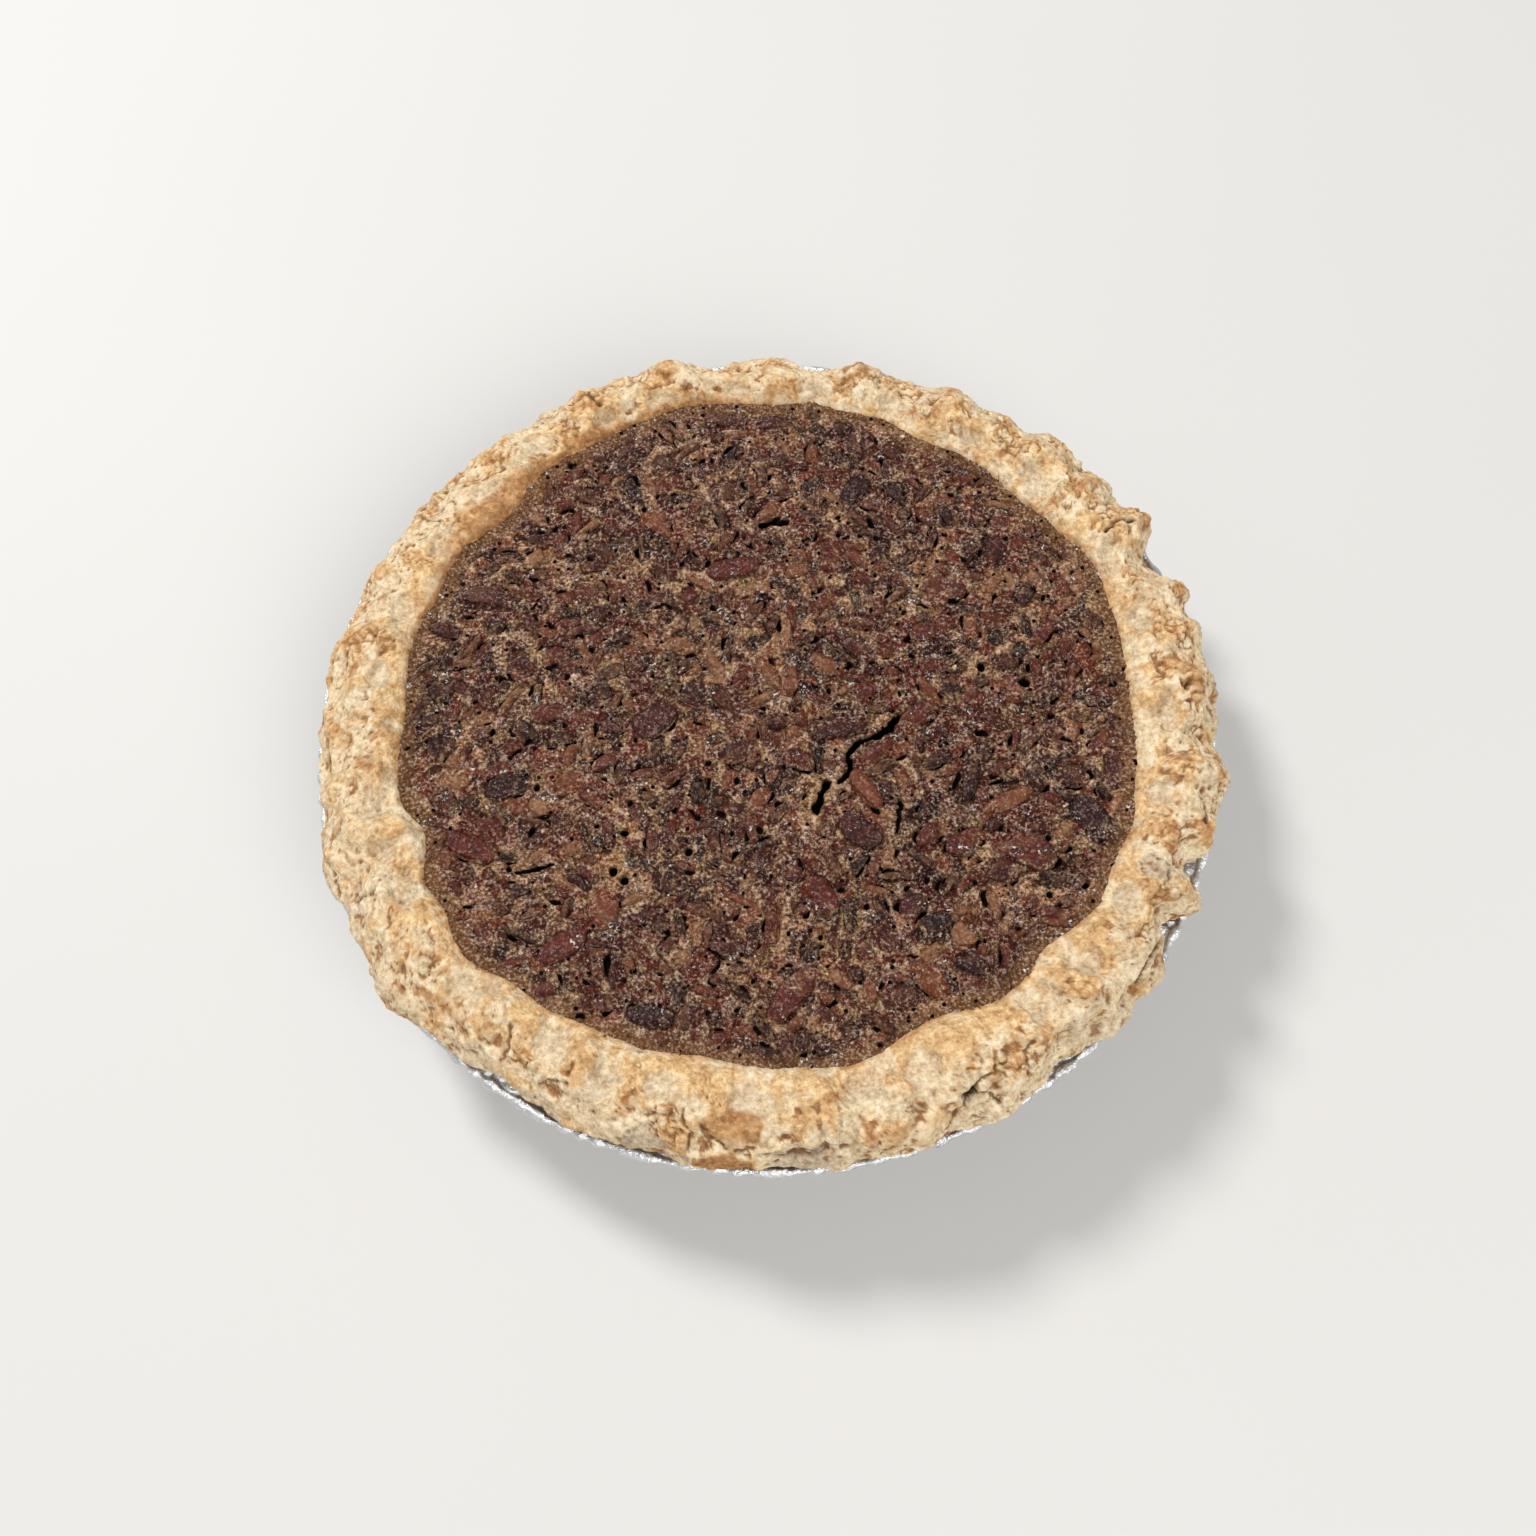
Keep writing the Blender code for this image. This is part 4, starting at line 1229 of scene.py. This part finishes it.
def scatterTree(name, shapes, material):
    # puts one of several shapes on each point, turned and sized by the point, and makes each uneven
    inputs = {"Size": "NodeSocketFloat", "Unevenness": "NodeSocketFloat", "Seed": "NodeSocketInt"}
    tree, bench, value = newTree(name, inputs)
    joined = tree.nodes.new("GeometryNodeJoinGeometry")
    for shape in reversed(shapes):
        sockets = {"Object": shape, "As Instance": True}
        info = bench.add("GeometryNodeObjectInfo", None, sockets, out="Geometry")
        tree.links.new(info.socket, joined.inputs[0])
    limits = {4: 0, 5: len(shapes) - 1, 8: value["Seed"]}
    pick = bench.add("FunctionNodeRandomValue", {"data_type": "INT"}, limits, out=2)
    turn = bench.add("GeometryNodeInputNamedAttribute", {"data_type": "FLOAT_VECTOR"}, {"Name": "turn"})
    size = bench.add("GeometryNodeInputNamedAttribute", {"data_type": "FLOAT_VECTOR"}, {"Name": "size"})
    rotation = bench.add("FunctionNodeEulerToRotation", None, {0: turn})
    scale = bench.add("ShaderNodeVectorMath", {"operation": "SCALE"}, {0: size, "Scale": value["Size"]})
    sockets = {
        "Points": value["Geometry"],
        "Instance": Wire(bench, joined.outputs[0]),
        "Pick Instance": True,
        "Instance Index": pick,
        "Rotation": rotation,
        "Scale": scale,
    }
    placed = bench.add("GeometryNodeInstanceOnPoints", None, sockets)
    realized = bench.add("GeometryNodeRealizeInstances", None, {0: placed})
    position = bench.add("GeometryNodeInputPosition")
    sockets = {"Vector": position, "Scale": 1 / (2.4 * mm), "Detail": 2.0}
    noise = bench.add("ShaderNodeTexNoise", None, sockets, out="Color")
    centred = bench.add("ShaderNodeVectorMath", {"operation": "SUBTRACT"}, {0: noise, 1: (0.5, 0.5, 0.5)})
    sockets = {0: centred, "Scale": value["Unevenness"]}
    shift = bench.add("ShaderNodeVectorMath", {"operation": "SCALE"}, sockets)
    moved = bench.add("GeometryNodeSetPosition", None, {"Geometry": realized, "Offset": shift})
    painted = bench.add("GeometryNodeSetMaterial", None, {"Geometry": moved, "Material": material})
    bench.plug(tree.nodes.new("NodeGroupOutput").inputs["Geometry"], painted)
    return tree


def pointCloud(name, places, turns, sizes, marks):
    # loose vertices that carry what the scatter tree reads, and numbers for the finish
    mesh = bpy.data.meshes.new(name)
    mesh.from_pydata((places * mm).tolist(), [], [])
    for attribute, values in (("turn", turns), ("size", sizes * mm)):
        carried = mesh.attributes.new(attribute, "FLOAT_VECTOR", "POINT").data
        carried.foreach_set("vector", values.astype(np.float32).ravel())
    for attribute, values in marks.items():
        carried = mesh.attributes.new(attribute, "FLOAT", "POINT").data
        carried.foreach_set("value", values.astype(np.float32))
    made = bpy.data.objects.new(name, mesh)
    pie.objects.link(made)
    return made


def scatterShapes(name, count, make):
    # the few shapes that a scatter picks from, each with how much flesh shows at its points
    shapes = []
    for number in range(count):
        points, faces, flesh = make(number)
        mesh = bpy.data.meshes.new(f"{name}{number}")
        mesh.from_pydata(points.tolist(), [], faces)
        mesh.attributes.new("flesh", "FLOAT", "POINT").data.foreach_set("value", flesh.astype(np.float32))
        mesh.shade_smooth()
        shapes.append(bpy.data.objects.new(f"{name}{number}", mesh))
    return shapes


def growScatter(piece, shapes, material, unevenness, seed):
    # grows the scatter on its points, then drops the shapes that it copied
    tree = scatterTree(piece.name, shapes, material)
    grown(piece, tree, {"Size": 1.0, "Unevenness": unevenness * mm, "Seed": seed})
    piece.data.shade_smooth()
    for shape in shapes:
        bpy.data.objects.remove(shape)


def dropMarks(mesh):
    # what the points carried isn't needed once the masks are painted
    for spent in ("tone", "dusty", "flesh", "turn", "size"):
        if spent in mesh.attributes:
            mesh.attributes.remove(mesh.attributes[spent])


def smallPecansPiece(plan, material):
    small = plan[plan[:, 7] == smallKind]
    dice = np.random.default_rng(5)
    shapes = scatterShapes(
        "choppedShape", pecans["shapes"], lambda number: pecanShape(10, 8, 40 + number, 2 + number % 3)
    )
    count = len(small)
    thick = 0.6 * small[:, 3] + 1.0
    show = pecans["shows"] * dice.uniform(0.3, 0.95, count)
    height = topAt(small[:, 0], small[:, 1]) + show - thick / 2
    places = np.stack([small[:, 0], small[:, 1], height], axis=-1)
    turns = np.stack([dice.normal(0, 0.2, count), dice.normal(0, 0.08, count), small[:, 4]], axis=-1)
    sizes = np.stack([small[:, 2] * 1.06, small[:, 3] * 1.1, thick], axis=-1)
    piece = pointCloud("choppedPecans", places, turns, sizes, {"tone": small[:, 5], "dusty": small[:, 6]})
    growScatter(piece, shapes, material, 1.2, 4)

    # What each point carried becomes the masks that the finish reads.
    mesh = piece.data
    points = np.zeros(len(mesh.vertices) * 3, np.float32)
    mesh.vertices.foreach_get("co", points)
    marks = []
    for name in ("tone", "dusty", "flesh"):
        values = np.zeros(len(mesh.vertices), np.float32)
        mesh.attributes[name].data.foreach_get("value", values)
        marks.append(values)
    paintMasks(mesh, skinMasks(points.reshape(-1, 3).astype(float) / mm, *marks, 320))
    dropMarks(mesh)
    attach(piece, "root")


def pecansIn(plan, x, y):
    # what the pecans do to the custard: its rise, how much of a sunken one shows and its tone, and dips
    # beside them that are darkened as painted shadow
    dice = np.random.default_rng(17)
    rise, shows, tones, gap = (np.zeros_like(x) for _ in range(4))
    flat = laidFlat(x, y)
    swayX, swayY = (0.6 * softNoise(flat, 2.2, 110 + axis) for axis in range(2))
    for placeX, placeY, length, width, turn, tone, dusty, kind in plan:
        near = np.abs(x - placeX) + np.abs(y - placeY) < length + 5
        dx, dy = (x + swayX)[near] - placeX, (y + swayY)[near] - placeY
        along = dx * math.cos(turn) + dy * math.sin(turn)
        over = dy * math.cos(turn) - dx * math.sin(turn)
        edge = np.hypot(np.maximum(np.abs(along) - (length - width) / 2, 0), over) - width / 2
        if kind == sunkenKind:
            here = (1 - smooth(-0.5, 0.6, edge)) * (0.95 - 0.5 * dusty)
            rise[near] += filling["mound"] * (1 - smooth(-1.0, 0.4, edge)) * (1 - shows[near])
        else:
            here = 0.7 * (1 - smooth(-0.2, 0.9, edge))
            rise[near] = np.minimum(rise[near], -filling["drop"] * (1 - smooth(0.2, 1.4, edge)))
            # painted shade: a dark ring round each piece that stands out
            gap[near] = np.maximum(gap[near], 0.45 * hill(edge, 0.8))
        tones[near] = np.where(here > shows[near], tone, tones[near])
        shows[near] = np.maximum(shows[near], here)
        # painted shadow: a dark crescent along one flank of some pieces
        if dice.random() < (0.45 if kind else 0.18):
            flank = 1 if dice.random() < 0.5 else -1
            stretch = hill(along - dice.uniform(-0.3, 0.3) * length, dice.uniform(0.2, 0.45) * length)
            wide = dice.uniform(0.6, 1.3)
            gap[near] = np.maximum(gap[near], 1.3 * hill(edge - 0.3, wide) * (over * flank > 0) * stretch)
    return rise, shows, tones, gap


def discGrid(side):
    # a square grid pulled round, out to a little way under the pastry
    across, along = np.meshgrid(np.linspace(-1, 1, side), np.linspace(-1, 1, side), indexing="ij")
    wide = np.abs(across) > np.abs(along)
    safeAcross = np.where(np.abs(across) < 1e-9, 1e-9, across)
    safeAlong = np.where(np.abs(along) < 1e-9, 1e-9, along)
    ring = np.where(wide, across, along)
    quarter = math.pi / 4
    turn = np.where(wide, quarter * along / safeAcross, math.pi / 2 - quarter * across / safeAlong)
    x, y = ring * np.cos(turn), ring * np.sin(turn)
    full = lipAt(x, y) + filling["overlap"]
    return (x * full).ravel(), (y * full).ravel()


def cutOpenings(flat, level, dark):
    # sinks the open cracks and the holes into the custard, and darkens them with painted shade
    x, y = flat[:, 0], flat[:, 1]
    swayX = 0.8 * softNoise(flat, 3.0, 91) + 0.4 * softNoise(flat, 1.3, 93)
    swayY = 0.8 * softNoise(flat, 3.0, 92) + 0.4 * softNoise(flat, 1.3, 94)
    varied = 1 + 0.35 * softNoise(flat, 5, 96)
    for halfWidth, depth, corners in splits:
        gap = segmentDistance(x + swayX, y + swayY, corners) / varied
        level -= depth * hill(gap, 1.9 * halfWidth)
        dark = np.maximum(dark, hill(gap, 2.1 * halfWidth) ** 0.6)
    for holeX, holeY, radius in holes:
        stretch = 1 + 0.3 * math.sin(holeX)
        gap = np.hypot(x + 0.5 * swayX - holeX, (y + 0.5 * swayY - holeY) * stretch)
        level -= 2.2 * radius * hill(gap, 1.25 * radius)
        dark = np.maximum(dark, hill(gap, 1.3 * radius) ** 0.7)
    return level, dark


def skirted(points, side):
    # the grid's faces, a skirt under its edge and a bottom that closes it
    index = np.arange(side * side).reshape(side, side)
    corners = (index[:-1, :-1], index[1:, :-1], index[1:, 1:], index[:-1, 1:])
    quads = np.stack(corners, axis=-1).reshape(-1, 4)
    border = np.concatenate([index[:-1, 0], index[-1, :-1], index[:0:-1, -1], index[0, :0:-1]])
    start = len(points)
    skirt = points[border] * (0.985, 0.985, 1) - (0, 0, filling["skirt"])
    count = len(border)
    besides = (np.arange(count) + 1) % count
    walls = np.stack([border, start + np.arange(count), start + besides, border[besides]], axis=-1)
    middle = np.array([[0, 0, skirt[:, 2].mean()]])
    bottom = np.stack([start + np.arange(count), np.full(count, start + count), start + besides], axis=-1)
    faces = [*quads.tolist(), *walls.tolist(), *bottom.tolist()]
    return np.concatenate([points, skirt, middle]), faces


def fillingPiece(plan, material):
    side = filling["side"]
    x, y = discGrid(side)
    edge = lipAt(x, y) - np.hypot(x, y)
    flat = laidFlat(x, y)
    rise, shows, tones, dipAndShadowBeside = pecansIn(plan, x, y)
    level = topAt(x, y) + rise - 1.4 * dipAndShadowBeside + 0.14 * lumps(flat, 3.0, 83)
    speckle = hashed(np.round(flat * 40).astype(np.int64), 9) - 0.5
    level += 0.16 * softNoise(flat, 1.3, 90) + 0.1 * speckle
    level, dark = cutOpenings(flat, level, dipAndShadowBeside)
    bandOut, bandIn = filling["band"]
    brown = smooth(bandOut, bandIn, edge + 1.2 * softNoise(flat, 5, 98))
    points, faces = skirted(np.stack([x, y, level], axis=-1), side)
    masks = np.zeros((len(points), 4))
    masks[: len(x)] = np.stack([shows, tones, dark, brown], axis=-1)
    piece = pieceOf("bakedCustard", points, faces, material, masks)
    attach(piece, "root")
    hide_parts("filling")


# Loose bits of pastry on the rim, and paler granules on the custard.
crumbs = {
    "onPastry": 70,
    "onCustard": 16,
    "size": (0.7, 1.5),
    "largestGranule": 1.1,
    "custardReach": 86,
    "rimReach": (98, 115),
    "highest": 44,
    "shapes": 5,
    "tone": (0.35, 0.15, 0, 0),  # the masks of the pastry's finish
    "sunk": 0.3,  # the share of its height that a crumb sits in what it lies on
}

# The crumbs on the custard that show most: place and size.
paleCrumbs = [
    (37.5, 84, 1.7), (-6.5, 25.5, 1.6), (48.5, 10, 1.5), (44, 86.5, 1.0), (35, 81.5, 0.9),
    (-35, -31, 1.1), (-63, 40, 1.1),
]


def crumbsPiece(rim, material):
    dice = np.random.default_rng(23)
    low, high = crumbs["size"]
    places = [(x, y, heightAt(x, y), size) for x, y, size in paleCrumbs]
    for _ in range(crumbs["onCustard"]):
        reach, around = crumbs["custardReach"] * math.sqrt(dice.random()), 2 * math.pi * dice.random()
        x, y = reach * math.cos(around), reach * math.sin(around)
        places.append((x, y, heightAt(x, y), dice.uniform(low, crumbs["largestGranule"])))
    upward = np.argwhere(gridNormals(rim)[..., 2] > 0.55)
    spots = rim[tuple(upward[dice.integers(len(upward), size=crumbs["onPastry"])].T)]
    inner, outer = crumbs["rimReach"]
    for x, y, z in spots:
        if inner < math.hypot(x, y) < outer and z < crumbs["highest"]:
            places.append((x, y, z, dice.uniform(low, high)))
    places = np.array(places)
    count, wide = len(places), places[:, 3]
    across = wide * dice.uniform(0.6, 0.95, count)
    tall = wide * dice.uniform(0.5, 0.8, count)
    leanX = dice.normal(0, 0.3, count)
    leanY = dice.normal(0, 0.3, count)
    sizes = np.stack([wide, across, tall], axis=-1)
    turns = np.stack([leanX, leanY, dice.uniform(0, 6.3, count)], axis=-1)
    middles = places[:, :3] + np.stack([0 * wide, 0 * wide, (0.5 - crumbs["sunk"]) * tall], axis=-1)
    shapes = scatterShapes("crumbShape", crumbs["shapes"], lambda number: pecanShape(7, 7, 70 + number, 3))
    piece = pointCloud("pastryCrumbs", middles, turns, sizes, {})
    growScatter(piece, shapes, material, 0.3, 2)
    paintMasks(piece.data, np.tile(crumbs["tone"], (len(piece.data.vertices), 1)))
    dropMarks(piece.data)
    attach(piece, "root")


# The tin is a turned foil pan whose pleats and wrinkles come from a node tree.
tin = {
    "columns": 1440,
    "floorRadius": 91,
    "wallRadius": 110,
    "flange": 29.6,  # height of the flat edge over the table
    "foil": 0.4,  # thickness
    "roll": 1.1,  # radius of the rolled edge
    "pleats": 96,
    "pleatDepth": 0.35,
    "wrinkle": 0.22,
    "wrinkleSize": 3.0,
}


def tinSection():
    # radius and height of the foil, from the middle underneath, out and up, round the rolled edge and
    # down the inside
    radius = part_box("foil_tin")[1].x / mm - 0.45
    flange, foil, roll = tin["flange"], tin["foil"], tin["roll"]
    floor, wall = tin["floorRadius"], tin["wallRadius"]
    rollMiddle = radius - roll
    outside = [(0, 0.15), (30, 0.15), (60, 0.15), (80, 0.15), (floor - 4, 0.1), (floor - 2, 0.3)]
    for share in np.linspace(0.04, 0.97, 12):
        outside.append((floor + share * (wall - floor), share * flange))
    outside.append((rollMiddle - 1.4, flange - foil))
    rolled = []
    for turn in np.radians(np.linspace(205, 515, 12)):
        rolled.append((rollMiddle + roll * math.cos(turn), flange - 0.1 + roll * math.sin(turn)))
    inside = [(rollMiddle - 1.7, flange - 0.55), (rollMiddle - 2.6, flange - 0.1)]
    inside += [(wall + 2.6, flange), (wall - 0.4, flange)]
    for share in np.linspace(0.9, 0.05, 5):
        inside.append((floor - foil + share * (wall - floor), share * flange + foil))
    inside += [(floor - 5, foil + 0.2), (0, foil + 0.2)]
    return np.array(outside + rolled + inside)


def pleatTree(material):
    # pushes the foil in and out: pleats from the rolled edge down the wall, and wrinkles all over
    names = ("Pleats", "Pleat depth", "Wrinkle depth", "Wrinkle size", "Flange height")
    tree, bench, value = newTree("foilPleats", dict.fromkeys(names, "NodeSocketFloat"))
    position = bench.add("GeometryNodeInputPosition")
    parts = tree.nodes.new("ShaderNodeSeparateXYZ")
    tree.links.new(position.socket, parts.inputs[0])
    x, y, z = (Wire(bench, parts.outputs[axis]) for axis in "XYZ")
    turn = x.maths("ARCTAN2", y, x)
    along = z.maths("DIVIDE", z, value["Flange height"])
    drift = bench.add("ShaderNodeTexNoise", None, {"Vector": position, "Scale": 60.0, "Detail": 1.0})
    wave = turn.maths("SINE", turn * value["Pleats"] + drift * 14.0)
    sharp = wave.maths("ABSOLUTE", wave) ** 0.6 * wave.maths("SIGN", wave)
    onWall = along.risen(0.05, 0.3)
    scale = value["Wrinkle size"].maths("DIVIDE", 1.0, value["Wrinkle size"])
    crumple = bench.add("ShaderNodeTexNoise", None, {"Vector": position, "Scale": scale, "Detail": 3.0})
    push = sharp * value["Pleat depth"] * onWall + (crumple - 0.5) * 2.0 * value["Wrinkle depth"]
    normal = bench.add("GeometryNodeInputNormal")
    offset = bench.add("ShaderNodeVectorMath", {"operation": "SCALE"}, {0: normal, "Scale": push})
    moved = bench.add("GeometryNodeSetPosition", None, {"Geometry": value["Geometry"], "Offset": offset})
    realized = bench.add("GeometryNodeRealizeInstances", None, {0: moved})
    painted = bench.add("GeometryNodeSetMaterial", None, {"Geometry": realized, "Material": material})
    bench.plug(tree.nodes.new("NodeGroupOutput").inputs["Geometry"], painted)
    return tree


def tinPiece(material):
    section = tinSection()[1:-1]
    columns, rows = tin["columns"], len(section)
    around = 2 * np.pi * np.arange(columns)[:, None] / columns
    height = np.broadcast_to(section[:, 1], (columns, rows))
    points = np.stack([section[:, 0] * np.cos(around), section[:, 0] * np.sin(around), height], axis=-1)
    points = points.reshape(-1, 3)
    faces = ringFaces(columns, rows, closed=False)[:, ::-1].tolist()
    centres = len(points)
    points = np.concatenate([points, [[0, 0, section[0, 1]], [0, 0, section[-1, 1]]]])
    for column in range(columns):
        besides = (column + 1) % columns
        faces.append([centres, besides * rows, column * rows])
        faces.append([centres + 1, column * rows + rows - 1, besides * rows + rows - 1])
    piece = pieceOf("foilPan", points, faces, material)
    values = {
        "Pleats": float(tin["pleats"]),
        "Pleat depth": tin["pleatDepth"] * mm,
        "Wrinkle depth": tin["wrinkle"] * mm,
        "Wrinkle size": tin["wrinkleSize"] * mm,
        "Flange height": tin["flange"] * mm,
    }
    grown(piece, pleatTree(material), values)
    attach(piece, "root")
    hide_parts("foil_tin")


studio = {  # in metres
    "cameraPlace": (0, -0.1771, 0.3851),
    "cameraDown": 65.3,  # degrees below the horizon
    "lens": 35.32,  # millimetres, on a sensor 36 mm wide
    "sky": 0.45,
    "floor": 8,
    "lights": {  # place, width and watts
        "key": ((-1.2, 1.2, 1.8), 0.6, 46),
        "fill": ((0.9, -1.5, 1.6), 1.8, 33),
    },
}


def studioFloor():
    material, bench, shader = newMaterial("paleFloor", Roughness=0.7)
    shade = bench.mix(bench.noise(300.0, detail=2.0), paint(206, 204, 201), paint(211, 209, 206))
    bench.plug(shader["Base Color"], shade)
    bpy.ops.mesh.primitive_plane_add(size=studio["floor"], location=(0, 0, -0.0002))
    floor = bpy.context.object
    floor.name = "studioFloor"
    floor.data.materials.append(material)


def softLight(name, place, size, power):
    lamp = bpy.data.lights.new(name, "AREA")
    lamp.shape = "DISK"
    lamp.size = size
    lamp.energy = power
    made = bpy.data.objects.new(name, lamp)
    made.location = place
    made.rotation_euler = (-Vector(place)).to_track_quat("-Z", "Y").to_euler()
    bpy.context.scene.collection.objects.link(made)


def studioSetup():
    scene = bpy.context.scene
    scene.view_settings.view_transform = "Standard"
    world = bpy.data.worlds.new("studio")
    world.use_nodes = True
    sky = world.node_tree.nodes["Background"].inputs
    sky["Color"].default_value = (1.0, 0.99, 0.97, 1)
    sky["Strength"].default_value = studio["sky"]
    scene.world = world
    for name, (place, size, power) in studio["lights"].items():
        softLight(name, place, size, power)
    down = math.radians(studio["cameraDown"])
    lens = bpy.data.cameras.new("camera")
    lens.lens = studio["lens"]
    lens.sensor_width = 36
    lens.clip_start = 0.01
    camera = bpy.data.objects.new("camera", lens)
    camera.location = studio["cameraPlace"]
    camera.rotation_euler = Vector((0, math.cos(down), -math.sin(down))).to_track_quat("-Z", "Y").to_euler()
    scene.collection.objects.link(camera)
    scene.camera = camera


pastry = pastryFinish()
custard = custardFinish()
nut = nutFinish()
foil = foilFinish()
rim = crustPiece(pastry)
crustBowl(pastry)
print("pastry rim and bowl made")
plan = pecanPlan()
print(len(plan), "pieces of pecan planned")
fillingPiece(plan, custard)
print("baked custard made")
largePecansPiece(plan, nut)
smallPecansPiece(plan, nut)
print("pecans laid")
crumbsPiece(rim, pastry)
print("crumbs dropped")
tinPiece(foil)
print("foil pan made")
studioFloor()
studioSetup()
print("studio lit")
